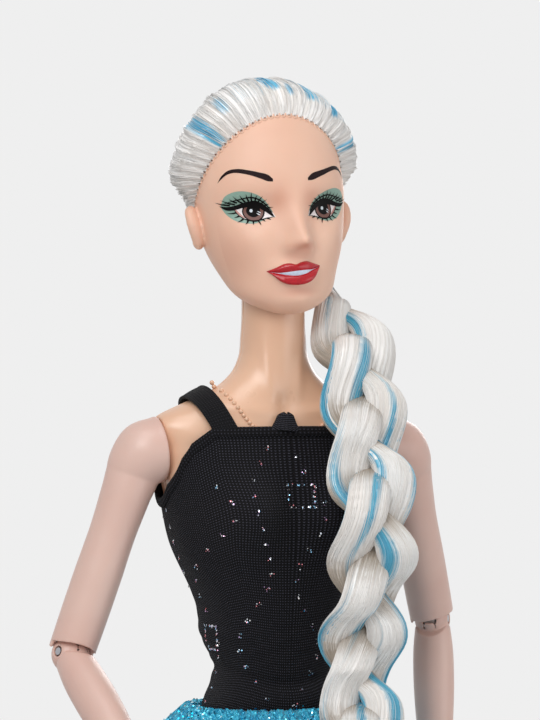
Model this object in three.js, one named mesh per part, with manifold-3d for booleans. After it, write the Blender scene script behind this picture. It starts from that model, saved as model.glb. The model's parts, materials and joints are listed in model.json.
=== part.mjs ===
// A jointed fashion doll, about 296 mm tall, standing, in millimetres.
// +Z is up, the doll faces -Y, and its own left side is +X.
import * as THREE from 'three';
import { mergeVertices } from 'three/addons/utils/BufferGeometryUtils.js';
import Module from 'manifold-3d';

const wasm = await Module();
wasm.setup();

// Fits shared by every piece
const clearance = 0.3;
const overrun = 2;
const weld = 0.0005;
const bodyStep = 5;
const ringPoints = 20;
const limbPoints = 10;
const ballPoints = 12;
const smallPoints = 8;

// Lengths that stack up from the floor to the crown
const soleThickness = 2.2;
const shinLength = 79;
const thighLength = 77;
const torsoRise = 66.8;
const neckRise = 25.5;
const headRise = 45.5;
const kneeHeight = soleThickness + shinLength;
const hipHeight = kneeHeight + thighLength;
const shoulderHeight = hipHeight + torsoRise;
const chinHeight = shoulderHeight + neckRise;
const crownHeight = chinHeight + headRise;

// Body
const chestHalf = 22;
const bodyDepth = 10;
const bustRise = 5.4;
const bustSpread = 9;
const bustWidth = 5.6;
const bustHeight = 6.4;
const neckRadius = 6.3;
const shellWall = 1.6;

// Arms, from the shoulder axis to the fingertips
const shoulderHalf = 22.6;
const shoulderRadius = 6.25;
const shoulderTilt = THREE.MathUtils.degToRad(7.5);
const armSplay = THREE.MathUtils.degToRad(18.4);
const upperArmOffset = 4.2;
const upperArmLength = 40.5;
const forearmLength = 40;
const elbowRadius = 4.4;
const wristRadius = 2.5;
const handLength = 19;

// Legs
const hipHalf = 9.8;
const pelvisWebHalf = 4.2;
const thighHeadRadius = 10.8;
const kneeRadius = 5.6;
const footLength = 27;

// How the doll is posed at rest
const headTurn = THREE.MathUtils.degToRad(2);
const headLean = THREE.MathUtils.degToRad(-3);
const armSwing = { right: THREE.MathUtils.degToRad(5), left: THREE.MathUtils.degToRad(26) };
const elbowTwist = { right: THREE.MathUtils.degToRad(22), left: THREE.MathUtils.degToRad(27) };
const elbowBend = { right: THREE.MathUtils.degToRad(62), left: THREE.MathUtils.degToRad(36) };

// Colours and finishes
const vinyl = { color: 0xe9bfa6, roughness: 0.55, metalness: 0 };
const armPlastic = { color: 0xe1beb2, roughness: 0.4, metalness: 0 };
const bodyPlastic = { color: 0xecc8ac, roughness: 0.25, metalness: 0 };
const nylon = { color: 0xd9cfc8, roughness: 0.4, metalness: 0 };
const steel = { color: 0xb8b8bc, roughness: 0.3, metalness: 1 };
const hair = { color: 0xeeece6, roughness: 0.4, metalness: 0 };
const blueHair = { color: 0x4db4dc, roughness: 0.4, metalness: 0 };
const knit = { color: 0x141316, roughness: 0.95, metalness: 0 };
const ribbon = { color: 0x1c1c20, roughness: 0.7, metalness: 0 };
const sequin = { color: 0x28a6c8, roughness: 0.4, metalness: 0.2 };
const shoePlastic = { color: 0x2aa3c7, roughness: 0.25, metalness: 0 };

// Solids and booleans
function solid(geometry) {
  const bare = geometry.clone();
  bare.deleteAttribute('normal');
  bare.deleteAttribute('uv');
  const merged = mergeVertices(bare, weld);
  return new wasm.Manifold(new wasm.Mesh({
    numProp: 3,
    vertProperties: new Float32Array(merged.attributes.position.array),
    triVerts: new Uint32Array(merged.index.array),
  }));
}

function geometryOf(body) {
  const mesh = body.getMesh();
  const geometry = new THREE.BufferGeometry();
  geometry.setAttribute('position', new THREE.BufferAttribute(new Float32Array(mesh.vertProperties), 3));
  geometry.setIndex(new THREE.BufferAttribute(new Uint32Array(mesh.triVerts), 1));
  return geometry;
}

function cut(base, ...tools) {
  return geometryOf(tools.reduce((body, tool) => body.subtract(solid(tool)), solid(base)));
}

function join(base, ...others) {
  return geometryOf(others.reduce((body, other) => body.add(solid(other)), solid(base)));
}

function common(base, ...others) {
  return geometryOf(others.reduce((body, other) => body.intersect(solid(other)), solid(base)));
}

// The piece mirrored from the left side to the right, with its faces still pointing out
function mirrored(geometry) {
  const twin = geometry.clone();
  twin.scale(-1, 1, 1);
  const index = twin.index.array;
  for (let i = 0; i < index.length; i += 3) {
    [index[i], index[i + 1]] = [index[i + 1], index[i]];
  }
  return twin;
}

function sided(side, geometry) {
  const indexed = geometry.index ? geometry : geometryOf(solid(geometry));
  return side === 'left' ? indexed : mirrored(indexed);
}

// Closed body through rings of points, each ring counterclockwise seen from beyond the last one
function bands(rings, loops) {
  const count = rings[0].length;
  const faces = [];
  for (let r = 0; r < (loops ? rings.length : rings.length - 1); r += 1) {
    const beyond = ((r + 1) % rings.length) * count;
    for (let i = 0; i < count; i += 1) {
      const next = (i + 1) % count;
      faces.push(r * count + i, r * count + next, beyond + next, r * count + i, beyond + next, beyond + i);
    }
  }
  return faces;
}

// Closed sleeve: the last ring joins the first one again
function sleeve(rings) {
  const geometry = new THREE.BufferGeometry().setFromPoints(rings.flat());
  geometry.setIndex(bands(rings, true));
  return geometry;
}

function loft(rings) {
  const count = rings[0].length;
  const points = rings.flat();
  const faces = bands(rings, false);
  const last = points.length - count;
  const middle = (ring) => ring.reduce((sum, p) => sum.add(p), new THREE.Vector3()).divideScalar(count);
  points.push(middle(rings[0]), middle(rings[rings.length - 1]));
  for (let i = 0; i < count; i += 1) {
    const next = (i + 1) % count;
    faces.push(points.length - 2, next, i, points.length - 1, last + i, last + next);
  }
  const geometry = new THREE.BufferGeometry().setFromPoints(points);
  geometry.setIndex(faces);
  return geometry;
}

// Ring at a height: half width, depth in front and depth behind, squarer for a higher power
function oval(z, half, front, back, power = 2, count = ringPoints) {
  const ring = [];
  for (let i = 0; i < count; i += 1) {
    const angle = (2 * Math.PI * i) / count;
    const c = Math.cos(angle);
    const s = Math.sin(angle);
    const x = half * Math.sign(c) * Math.abs(c) ** (2 / power);
    const y = (s < 0 ? front : back) * Math.sign(s) * Math.abs(s) ** (2 / power);
    ring.push(new THREE.Vector3(x, y, z));
  }
  return ring;
}

// Body of revolution about Z from pairs of radius and height, closed on the axis
function turned(pairs, segments = smallPoints) {
  const profile = pairs.map(([radius, z]) => new THREE.Vector2(radius, z));
  const geometry = new THREE.LatheGeometry(profile, segments);
  geometry.rotateX(Math.PI / 2);
  return geometry;
}

function rod(radius, from, to, segments = smallPoints) {
  return turned([[0, from], [radius, from], [radius, to], [0, to]], segments);
}

// The same rod along X
function crossRod(radius, from, to, segments = smallPoints) {
  const geometry = rod(radius, from, to, segments);
  geometry.rotateY(Math.PI / 2);
  return geometry;
}

function box(xFrom, xTo, yFrom, yTo, zFrom, zTo) {
  const geometry = new THREE.BoxGeometry(xTo - xFrom, yTo - yFrom, zTo - zFrom);
  geometry.translate((xFrom + xTo) / 2, (yFrom + yTo) / 2, (zFrom + zTo) / 2);
  return geometry;
}

function ball(radius, segments = ballPoints) {
  const geometry = new THREE.SphereGeometry(radius, segments, segments / 2);
  geometry.rotateX(Math.PI / 2);
  return geometry;
}

// Fan-shaped block about the X axis, with angles measured down from straight ahead
function fan(inner, outer, from, to, half) {
  const shape = new THREE.Shape();
  shape.absarc(0, 0, outer, -from, -to, true);
  shape.absarc(0, 0, inner, -to, -from, false);
  const geometry = new THREE.ExtrudeGeometry(shape, { depth: 2 * half, bevelEnabled: false, curveSegments: 3 });
  geometry.translate(0, 0, -half);
  const basis = new THREE.Matrix4().makeBasis(
    new THREE.Vector3(0, -1, 0), new THREE.Vector3(0, 0, 1), new THREE.Vector3(-1, 0, 0),
  );
  return geometry.applyMatrix4(basis);
}

function moved(geometry, x, y, z) {
  return geometry.clone().translate(x, y, z);
}

function add(group, name, geometry, finish) {
  const mesh = new THREE.Mesh(geometry, new THREE.MeshStandardMaterial(finish));
  mesh.name = name;
  group.add(mesh);
  return mesh;
}

// Smooth reading of a table of shares: the first column is the place, the rest are read there
function reader(rowShares) {
  const width = rowShares[0].length - 1;
  const places = rowShares.map((row) => row[0]);
  const values = rowShares.flatMap((row) => row.slice(1));
  const curve = new THREE.CubicInterpolant(places, values, width);
  return (place) => [...curve.evaluate(THREE.MathUtils.clamp(place, places[0], places[places.length - 1]))];
}

// Torso, read between the hip axis at 0 and the shoulder axis at 1:
// half width, depth in front and depth behind, as shares of the chest and the body depth
const torsoShares = [
  [-0.14, 0.2, 0.42, 0.5],
  [-0.08, 0.62, 0.85, 1.05],
  [0.02, 0.85, 1.04, 1.28],
  [0.12, 0.82, 1.06, 1.22],
  [0.22, 0.61, 0.98, 0.94],
  [0.36, 0.5, 0.88, 0.72],
  [0.48, 0.56, 0.94, 0.72],
  [0.6, 0.7, 1.06, 0.82],
  [0.74, 0.9, 1.16, 0.9],
  [0.86, 0.985, 1.1, 0.9],
  [1, 1.07, 0.94, 0.86],
  [1.09, 1.07, 0.8, 0.78],
];
// Shoulder slope and neck, read between the shoulder axis at 0 and the chin at 1, as shares
// of the neck's radius
const neckShares = [
  [0.24, 3.74, 1.27, 1.24],
  [0.34, 2.85, 1.18, 1.16],
  [0.44, 1.94, 1.12, 1.12],
  [0.54, 1.4, 1.07, 1.09],
  [0.68, 1.08, 1.02, 1.03],
  [0.84, 1, 1, 1],
  [1.5, 0.98, 0.98, 0.98],
];
const torsoAt = reader(torsoShares);
const neckAt = reader(neckShares);
const squareShare = 2.3;

function bustAt(x, z) {
  const across = (Math.abs(x) - bustSpread) / bustWidth;
  const bustCentre = hipHeight + torsoRise - bustHeight * 1.9;
  const along = (z - bustCentre) / bustHeight;
  return bustRise * Math.exp(-across * across - along * along);
}

// One ring of the body at a height, grown outwards for clothes or inwards for the hollow
function bodyRing(z, grown = 0, count = ringPoints) {
  const onNeck = (z - shoulderHeight) / neckRise > neckShares[0][0];
  const [half, front, back] = onNeck
    ? neckAt((z - shoulderHeight) / neckRise).map((share) => share * neckRadius)
    : torsoAt((z - hipHeight) / torsoRise).map((share, i) => share * (i === 0 ? chestHalf : bodyDepth));
  const ring = oval(z, half + grown, front + grown, back + grown, onNeck ? 2 : squareShare, count);
  ring.filter((p) => p.y < 0).forEach((p) => { p.y -= bustAt(p.x, z) * Math.min(1, -2 * p.y / front); });
  return ring;
}

// The body between two heights, with its rings at the same levels whatever it is grown by
function bodySolid(from, to, grown, count = ringPoints) {
  const levels = [from];
  for (let i = Math.floor(from / bodyStep) + 1; i * bodyStep < to; i += 1) {
    levels.push(i * bodyStep);
  }
  return loft([...levels, to].map((z) => bodyRing(z, grown, count)));
}

// A rod along a shoulder axis, measured outwards from the body's middle
function shoulderRod(side, radius, from, to, segments = limbPoints) {
  const geometry = crossRod(radius, from - shoulderHalf, to - shoulderHalf, segments);
  geometry.rotateY(shoulderTilt);
  geometry.translate(shoulderHalf, 0, shoulderHeight);
  return sided(side, geometry);
}

// Shoulder, hip and neck fittings
const pegRadius = 2.1;
const pegHeadRadius = 3.4;
const pegHeadLength = 1.6;
const pegReach = 5;
const axleRadius = 2;
const knobStemRadius = 3.2;
const knobRadius = 5;
const knobHeight = 5.2;
const knobFlangeRadius = 4.4;
const knobFlangeHeight = 2;
const headLip = 1.2;
const crotchHeight = hipHeight - torsoRise * 0.14;
const neckTop = chinHeight + headRise * 0.2;
const cavityShare = 0.86;

// How far above straight ahead and straight behind the pelvis is open for the thighs
const legSwing = { ahead: THREE.MathUtils.degToRad(24), behind: THREE.MathUtils.degToRad(14) };

function legSocket(side) {
  const geometry = crossRod(thighHeadRadius + clearance, pelvisWebHalf, chestHalf + overrun, ringPoints);
  geometry.translate(0, 0, hipHeight);
  const half = (chestHalf + overrun - pelvisWebHalf) / 2;
  const sweep = fan(thighHeadRadius / 2, 2 * thighHeadRadius, -legSwing.ahead, Math.PI - legSwing.behind, half);
  sweep.translate(pelvisWebHalf + half, 0, hipHeight);
  return sided(side, join(geometry, sweep));
}

// Moulded pendant of the necklace, low on the breastbone
const pendantRadius = 1.5;
const pendantRise = 5.6;

function pendant() {
  const z = shoulderHeight + pendantRise;
  const front = bodyRing(z).reduce((lowest, p) => Math.min(lowest, p.y), 0);
  return moved(new THREE.IcosahedronGeometry(pendantRadius, 1), 0, front + pendantRadius / 2, z);
}

function torsoHalves() {
  const outer = bodySolid(crotchHeight, neckTop, 0);
  const hollowTop = shoulderHeight + neckRise * 0.3;
  const hollow = bodySolid(hipHeight + thighHeadRadius + 2 * shellWall, hollowTop, -shellWall, limbPoints);
  const knobBore = rod(knobStemRadius + clearance, hollowTop - overrun, neckTop + overrun, limbPoints);
  const knobRoom = rod(
    knobFlangeRadius + clearance, hollowTop - overrun,
    neckTop - knobHeight - shellWall, limbPoints,
  );
  const holes = ['left', 'right'].flatMap((side) => [
    shoulderRod(side, shoulderRadius * 2.4, shoulderHalf, shoulderHalf + 4 * overrun),
    shoulderRod(side, pegRadius + clearance, shoulderHalf - pegReach, shoulderHalf + overrun, smallPoints),
    shoulderRod(side, pegHeadRadius + clearance, shoulderHalf - 2 * pegReach, shoulderHalf - 2 * shellWall),
    legSocket(side),
  ]);
  const axleHole = moved(crossRod(axleRadius + clearance, -chestHalf, chestHalf), 0, 0, hipHeight);
  const body = cut(outer, hollow, knobBore, knobRoom, axleHole, ...holes);
  const wide = 2 * chestHalf;
  const frontRoom = box(-wide, wide, -wide, 0, 0, crownHeight);
  const backRoom = box(-wide, wide, 0, wide, 0, crownHeight);
  return {
    front: common(join(body, pendant()), frontRoom),
    back: common(body, backRoom),
  };
}

function neckKnob() {
  const base = neckTop - knobHeight - shellWall - knobFlangeHeight;
  const top = neckTop + knobHeight;
  return turned([
    [0, base - clearance],
    [knobFlangeRadius, base - clearance],
    [knobFlangeRadius, base - clearance + knobFlangeHeight],
    [knobStemRadius, base - clearance + knobFlangeHeight],
    [knobStemRadius, neckTop + headLip + 2 * clearance],
    [knobRadius, neckTop + headLip + 3 * clearance],
    [knobRadius * 0.9, top - knobHeight * 0.2],
    [knobRadius * 0.5, top],
    [0, top],
  ], limbPoints);
}

// An elbow or a knee: the upper limb ends in a cup, a tongue turns in the cup on its stem,
// and the lower limb's slotted knuckle hinges on the tongue's pin. It bends towards -Y.
const mostBend = { elbow: THREE.MathUtils.degToRad(72), knee: THREE.MathUtils.degToRad(72) };

function jointSizes(radius) {
  const cup = radius * 0.89;
  const knuckle = cup - clearance;
  return {
    radius,
    cup,
    knuckle,
    tongueHalf: radius * 0.24,
    tongueRadius: knuckle * 0.84,
    stemRadius: radius * 0.4,
    stemTop: knuckle + radius * 1.7,
    barb: radius * 0.1,
    barbLength: radius * 0.45,
    pinRadius: radius * 0.17,
    rim: radius * 0.07,
    notch: radius * 0.52,
  };
}

function cupTools(sizes) {
  const { radius, cup, stemRadius, stemTop, barb, barbLength, rim, notch } = sizes;
  const below = box(-2 * radius, 2 * radius, -2 * radius, 2 * radius, -3 * radius, rim);
  const chamber = rod(stemRadius + barb + clearance, stemTop - barbLength - clearance, stemTop + clearance);
  const arch = rod(notch, 0, 2 * radius, limbPoints);
  arch.rotateX(Math.PI / 2);
  arch.scale((radius * 1.15) / notch, 1, 1);
  arch.translate(0, 0, rim);
  return [below, ball(cup), rod(stemRadius + clearance, 0, stemTop), chamber, arch];
}

function knuckleTools(sizes, bend) {
  const { radius, knuckle, tongueHalf, tongueRadius, stemRadius, pinRadius, notch } = sizes;
  const slotHalf = tongueHalf + clearance;
  const notchAngle = Math.asin(notch / radius);
  const reliefEnd = bend - notchAngle + clearance / knuckle;
  return [
    crossRod(tongueRadius + clearance, -slotHalf, slotHalf, limbPoints),
    box(-slotHalf, slotHalf, -2 * radius, 0, -stemRadius / 2, 2 * radius),
    box(-slotHalf, slotHalf, -radius, stemRadius + clearance, 0, 2 * radius),
    crossRod(pinRadius + clearance, -2 * radius, 2 * radius),
    cut(fan(knuckle / 2, 2 * radius, -clearance / knuckle, reliefEnd, 2 * radius), ball(knuckle * 0.99)),
  ];
}

function connector(sizes) {
  const { knuckle, tongueHalf, tongueRadius, stemRadius, stemTop, barb, barbLength, pinRadius } = sizes;
  const foot = knuckle + clearance;
  const disc = crossRod(tongueRadius, -tongueHalf, tongueHalf, limbPoints);
  const plateHalf = stemRadius * 0.84;
  const plate = box(-tongueHalf, tongueHalf, -plateHalf, plateHalf, 0, foot + clearance);
  const stem = turned([
    [0, foot],
    [stemRadius, foot],
    [stemRadius, stemTop - barbLength],
    [stemRadius + barb, stemTop - barbLength],
    [stemRadius, stemTop],
    [0, stemTop],
  ]);
  return cut(join(disc, plate, stem), crossRod(pinRadius + clearance, -2 * knuckle, 2 * knuckle));
}

function jointPin(sizes) {
  return crossRod(sizes.pinRadius, -sizes.knuckle * 0.9, sizes.knuckle * 0.9);
}

// Rings across a limb that hangs along -Z: place along it, half width, front and back, lean forward
function limb(rowShares, length, radius, steps) {
  const at = reader(rowShares);
  const rings = [];
  for (let i = steps; i >= 0; i -= 1) {
    const share = rowShares[0][0] + ((rowShares[rowShares.length - 1][0] - rowShares[0][0]) * i) / steps;
    const [half, front, back, lean] = at(share).map((value) => value * radius);
    const ring = oval(-share * length, half, front, back, 2, limbPoints);
    ring.forEach((p) => { p.y -= lean; });
    rings.push(ring);
  }
  return loft(rings);
}

// Upper arm in the shoulder's frame: X runs outwards along the shoulder axis
const armLean = armSplay + shoulderTilt;
const armAxis = new THREE.Vector3(Math.sin(armLean), 0, -Math.cos(armLean));
const armRoot = new THREE.Vector3(upperArmOffset, 0, 0);
const elbowSpot = armRoot.clone().addScaledVector(armAxis, upperArmLength);
const elbow = jointSizes(elbowRadius);
// Shoulder bend: turn of the ring as a share of the whole turn, then radius shares of the seam's
const shoulderBendShares = [[0, 1, 1], [0.33, 0.985, 0.97], [0.66, 0.9, 0.88], [1, 0.83, 0.77]];
// Upper arm below the bend: place along it, then radius shares of the elbow's
const upperArmShares = [[0.2, 1.09], [0.38, 1.01], [0.62, 1.03], [0.86, 1.02], [1, 1]];

function tiltedRing(centre, turn, acrossRadius, depthRadius) {
  const up = new THREE.Vector3(Math.sin(turn), 0, Math.cos(turn));
  const ring = [];
  for (let i = 0; i < limbPoints; i += 1) {
    const angle = (2 * Math.PI * i) / limbPoints;
    const point = centre.clone().addScaledVector(up, acrossRadius * Math.sin(angle));
    point.y += depthRadius * Math.cos(angle);
    ring.push(point);
  }
  return ring;
}

function upperArm() {
  const wholeTurn = Math.PI / 2 - armLean;
  const armpit = new THREE.Vector3(upperArmOffset * 0.36, 0, -shoulderRadius * 1.04);
  const rings = [tiltedRing(new THREE.Vector3(clearance, 0, 0), 0, shoulderRadius, shoulderRadius)];
  shoulderBendShares.forEach(([turnShare, across, depth]) => {
    const turn = wholeTurn * turnShare;
    const up = new THREE.Vector3(Math.sin(turn), 0, Math.cos(turn));
    const centre = armpit.clone().addScaledVector(up, shoulderRadius * across);
    rings.push(tiltedRing(centre, turn, shoulderRadius * across, shoulderRadius * depth));
  });
  upperArmShares.forEach(([place, share]) => {
    const centre = armRoot.clone().addScaledVector(armAxis, upperArmLength * place);
    rings.push(tiltedRing(centre, wholeTurn, elbowRadius * share, elbowRadius * share));
  });
  const tools = cupTools(elbow).map((tool) => {
    tool.rotateY(-armLean);
    return tool.translate(elbowSpot.x, elbowSpot.y, elbowSpot.z);
  });
  const bore = crossRod(pegRadius + clearance, 0, pegReach + clearance);
  return cut(loft(rings), bore, ...tools);
}

// Peg that holds the arm to the torso: its head turns inside the shell
function shoulderPeg() {
  const shank = crossRod(pegRadius, -pegReach - shellWall, pegReach);
  const head = crossRod(pegHeadRadius, -pegReach - shellWall - pegHeadLength, -pegReach - shellWall);
  return join(shank, head);
}

// Forearm: place along it, half width, front, back and lean forward as shares of the elbow's radius
const forearmShares = [
  [0.04, 0.8, 0.78, 0.8, 0],
  [0.14, 0.9, 0.84, 0.92, 0.01],
  [0.3, 0.93, 0.9, 0.96, 0.02],
  [0.55, 0.82, 0.82, 0.84, 0.03],
  [0.85, 0.62, 0.62, 0.62, 0.02],
  [1, 0.57, 0.56, 0.56, 0],
];
const wristPegRadius = 1.1;
const wristPegLength = 4.5;

function forearm() {
  const shaft = limb(forearmShares, forearmLength, elbowRadius, 7);
  const bore = rod(wristPegRadius + clearance, -forearmLength - overrun, -forearmLength + wristPegLength);
  return cut(join(shaft, ball(elbow.knuckle)), ...knuckleTools(elbow, mostBend.elbow), bore);
}

// Left hand hanging along -Z, palm towards -X and thumb towards -Y
const palmShares = [
  [0.01, 0.72, 0.9, 0.9, 0],
  [0.14, 0.7, 1.02, 1.02, 0],
  [0.3, 0.68, 1.45, 1.3, 0.1],
  [0.46, 0.6, 1.5, 1.4, 0.05],
  [0.54, 0.46, 1.38, 1.34, 0],
];
// Fingers from first to last: place across the palm, length and curl as shares
const fingerShares = [[1.06, 0.46, 0.05], [0.4, 0.5, 0.08], [-0.28, 0.47, 0.12], [-0.92, 0.39, 0.16]];
const fingerRadiusShare = 0.33;
const thumbShares = { root: [-0.1, 1.15, 0.24], tip: [-0.28, 2.1, 0.52] };

function finger(from, to, radius) {
  const axis = to.clone().sub(from);
  const geometry = turned([
    [0, 0],
    [radius, 0],
    [radius * 0.92, axis.length() * 0.6],
    [radius * 0.7, axis.length() * 0.93],
    [0, axis.length()],
  ], smallPoints / 2);
  const turn = new THREE.Quaternion().setFromUnitVectors(new THREE.Vector3(0, 0, 1), axis.normalize());
  return geometry.applyQuaternion(turn).translate(from.x, from.y, from.z);
}

function hand() {
  const palm = limb(palmShares, handLength, wristRadius, 5);
  const peg = rod(wristPegRadius, -handLength * 0.05, wristPegLength - clearance);
  const fingers = fingerShares.map(([across, length, curl]) => finger(
    new THREE.Vector3(0, -across * wristRadius, -handLength * 0.48),
    new THREE.Vector3(-curl * handLength, -across * wristRadius * 1.12, -handLength * (0.5 + length)),
    wristRadius * fingerRadiusShare,
  ));
  const [rootIn, rootAhead, rootDown] = thumbShares.root;
  const [tipIn, tipAhead, tipDown] = thumbShares.tip;
  const thumb = finger(
    new THREE.Vector3(rootIn * wristRadius, -rootAhead * wristRadius * 0.6, -rootDown * handLength),
    new THREE.Vector3(tipIn * wristRadius, -tipAhead * wristRadius, -tipDown * handLength),
    wristRadius * fingerRadiusShare * 1.1,
  );
  return join(palm, peg, ...fingers, thumb);
}

// Legs: a round thigh head turns in the pelvis, the knee is built like the elbow but bends back
const knee = jointSizes(kneeRadius);
// Thigh and shin: place along it, half width, front, back and lean forward as shares of the knee's
const thighShares = [
  [0.02, 1.5, 1.5, 1.62, 0],
  [0.16, 1.54, 1.52, 1.66, 0],
  [0.4, 1.34, 1.42, 1.4, 0.06],
  [0.7, 1.12, 1.2, 1.16, 0.06],
  [0.9, 1.02, 1.04, 1.03, 0.02],
  [1, 1, 1, 1, 0],
];
const shinShares = [
  [0.03, 0.8, 0.8, 0.78, 0],
  [0.1, 0.88, 0.86, 0.86, 0.02],
  [0.3, 0.92, 0.86, 1.04, 0],
  [0.55, 0.74, 0.76, 0.84, 0.02],
  [0.84, 0.56, 0.62, 0.66, 0.02],
  [0.97, 0.6, 0.74, 0.8, 0],
];

// In the hip's frame, at its real distance from the middle of the body
function thigh() {
  const head = crossRod(thighHeadRadius, pelvisWebHalf + clearance, chestHalf + overrun, ringPoints);
  const hips = bodySolid(crotchHeight - overrun, hipHeight + 2 * thighHeadRadius, 0);
  hips.translate(0, 0, -hipHeight);
  const shaft = limb(thighShares, thighLength, kneeRadius, 7);
  shaft.translate(hipHalf, 0, 0);
  const webRoom = crossRod(
    thighHeadRadius + 2 * clearance, -chestHalf, pelvisWebHalf + clearance, ringPoints,
  );
  const middleRoom = box(-chestHalf, clearance / 2, -chestHalf, chestHalf, -thighLength, chestHalf);
  const axleBore = crossRod(axleRadius + clearance, 0, hipHalf + thighHeadRadius / 2);
  const outerRoom = cut(
    crossRod(2 * thighHeadRadius, -chestHalf, 2 * chestHalf, ringPoints),
    crossRod(thighHeadRadius, -2 * chestHalf, 3 * chestHalf, ringPoints),
    box(-chestHalf, 2 * chestHalf, -2 * chestHalf, 2 * chestHalf, -chestHalf, -thighHeadRadius * 0.6),
  );
  const tools = cupTools(knee).map((tool) => {
    tool.rotateZ(Math.PI);
    return tool.translate(hipHalf, 0, -thighLength);
  });
  const topped = cut(join(common(head, hips), cut(shaft, outerRoom)), webRoom, middleRoom, axleBore);
  return cut(topped, ...tools);
}

// Foot and shoe from the heel to the toes: place, half width and height as shares of the length
const heelBehind = 7;
const footShares = [
  [0, 0.09, 0.13],
  [0.06, 0.125, 0.26],
  [0.24, 0.13, 0.36],
  [0.44, 0.125, 0.31],
  [0.66, 0.16, 0.2],
  [0.86, 0.135, 0.13],
  [0.97, 0.085, 0.09],
  [1, 0.05, 0.06],
];
const shoeWall = 1;
const footAt = reader(footShares);

function footSolid(grown, bottom) {
  const steps = 6;
  const rings = [];
  for (let i = 0; i <= steps; i += 1) {
    const place = (1 - Math.cos((Math.PI * i) / steps)) / 2;
    const [half, height] = footAt(place).map((share) => share * footLength);
    const y = heelBehind + grown - place * (footLength + 2 * grown);
    const ring = oval(0, half + grown, height / 2 + grown, height / 2 + grown, 2.6, limbPoints);
    rings.push(ring.map((p) => new THREE.Vector3(p.x, y, bottom + height / 2 + p.y)));
  }
  return loft(rings);
}

// In the knee's frame, so the foot's underside lies one shin length down
function shin() {
  const shaft = limb(shinShares, shinLength, kneeRadius, 8);
  const foot = footSolid(0, -shinLength + clearance);
  const sized = join(shaft, foot, ball(knee.knuckle));
  const turnedTools = knuckleTools(knee, mostBend.knee).map((tool) => tool.rotateZ(Math.PI));
  return cut(sized, ...turnedTools);
}

function shoe() {
  const floor = -shinLength - soleThickness;
  const shell = footSolid(clearance + shoeWall, -shinLength + clearance);
  const outline = new THREE.Shape(
    footShares.map(([place, half]) => new THREE.Vector2(
      half * footLength + clearance + shoeWall,
      heelBehind + clearance + shoeWall - place * (footLength + 2 * (clearance + shoeWall)),
    )).concat(footShares.toReversed().map(([place, half]) => new THREE.Vector2(
      -half * footLength - clearance - shoeWall,
      heelBehind + clearance + shoeWall - place * (footLength + 2 * (clearance + shoeWall)),
    ))),
  );
  const sole = new THREE.ExtrudeGeometry(outline, { depth: soleThickness + shoeWall, bevelEnabled: false });
  sole.translate(0, 0, floor);
  const under = box(-footLength, footLength, -2 * footLength, footLength, floor - footLength, floor);
  const throat = box(
    -footLength, footLength, heelBehind - footLength * 0.58, footLength,
    -shinLength + footLength * 0.24, 0,
  );
  const instep = rod(footLength * 0.115, 0, footLength, limbPoints);
  instep.translate(0, heelBehind - footLength * 0.58, -shinLength + footLength * 0.12);
  const upper = cut(shell, under, throat, instep);
  return cut(join(upper, sole), footSolid(clearance, -shinLength + clearance), instep);
}

// Head: an egg with the jaw set forward, and soft bumps for the features
const hairThickness = 3;
const head = {
  middle: chinHeight + headRise * 0.5,
  half: 14.5,
  front: 13.3,
  back: 15.4,
  up: headRise * 0.5 - hairThickness,
  down: headRise * 0.5,
  jawForward: 8.2,
};
const headColumns = 28;
const headRows = 23;
// How much closer the columns and the rows stand over the face
const columnShare = 0.45;
const rowShare = 0.16;
// Nose, nostrils, eye hollows, lips, chin and cheeks: place and spread sideways as shares of the
// half width, height over the chin and spread up and down of the rise, push forward of the front
const featureShares = [
  [0, 0.121, 0.3, 0.1275, 0.04, 0.338],
  [0.117, 0.076, 0.275, 0.033, 0.024, 0.068],
  [0.51, 0.29, 0.44, 0.059, 0.0725, -0.143],
  [0, 0.303, 0.17, 0.053, 0.05, 0.128],
  [0, 0.262, 0.05, 0.044, 0.066, 0.09],
  [0.607, 0.276, 0.3, 0.101, 0.101, 0.075],
];

function featurePush(x, z) {
  return featureShares.reduce((sum, [place, spread, high, above, below, push]) => {
    const sideways = (Math.abs(x) / head.half - place) / spread;
    const rise = (z - chinHeight) / headRise - high;
    const along = rise / (rise > 0 ? above : below);
    return sum + push * head.front * Math.exp(-sideways * sideways - along * along);
  }, 0);
}

// Point of the head in a direction: turn from straight ahead, fall from the crown, grown outwards
function headPoint(turn, fall, grown, faceShare) {
  const reach = Math.sin(fall);
  const ahead = Math.cos(turn);
  const lift = Math.cos(fall);
  const half = head.half + grown;
  const depth = (ahead > 0 ? head.front : head.back) + grown;
  const z = head.middle + lift * ((lift > 0 ? head.up : head.down) + grown);
  const jaw = head.jawForward * Math.max(0, -lift) ** 2.6;
  const x = half * reach * Math.sin(turn);
  const y = -depth * reach * ahead - jaw;
  const face = Math.max(0, ahead) * reach * faceShare;
  return new THREE.Vector3(x, y - featurePush(x, z) * Math.min(1, 2 * face), z);
}

function headSolid(grown, faceShare, columns, rows) {
  const rings = [];
  for (let r = 1; r < rows; r += 1) {
    const share = 1 - r / rows;
    const wave = Math.sin(2 * Math.PI * (share - 0.66)) - Math.sin(2 * Math.PI * 0.34);
    const fall = Math.PI * share - rowShare * faceShare * wave;
    const ring = [];
    for (let i = 0; i < columns; i += 1) {
      const even = (2 * Math.PI * i) / columns;
      const turn = even - columnShare * faceShare * Math.sin(even);
      ring.push(headPoint(turn, fall, grown, faceShare));
    }
    rings.push(ring);
  }
  const geometry = loft(rings);
  return leaned(geometry);
}

function leaned(geometry) {
  geometry.translate(0, 0, -neckTop);
  geometry.rotateY(headLean);
  return geometry.translate(0, 0, neckTop);
}

// Ears sit at the cheek's edge, level with the eyes and the nose
const earHeightHalf = 4.3;
const earDepthHalf = 2.3;
const earThicknessHalf = 1.5;
const earRake = THREE.MathUtils.degToRad(-8);
const earFlare = THREE.MathUtils.degToRad(14);

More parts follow.
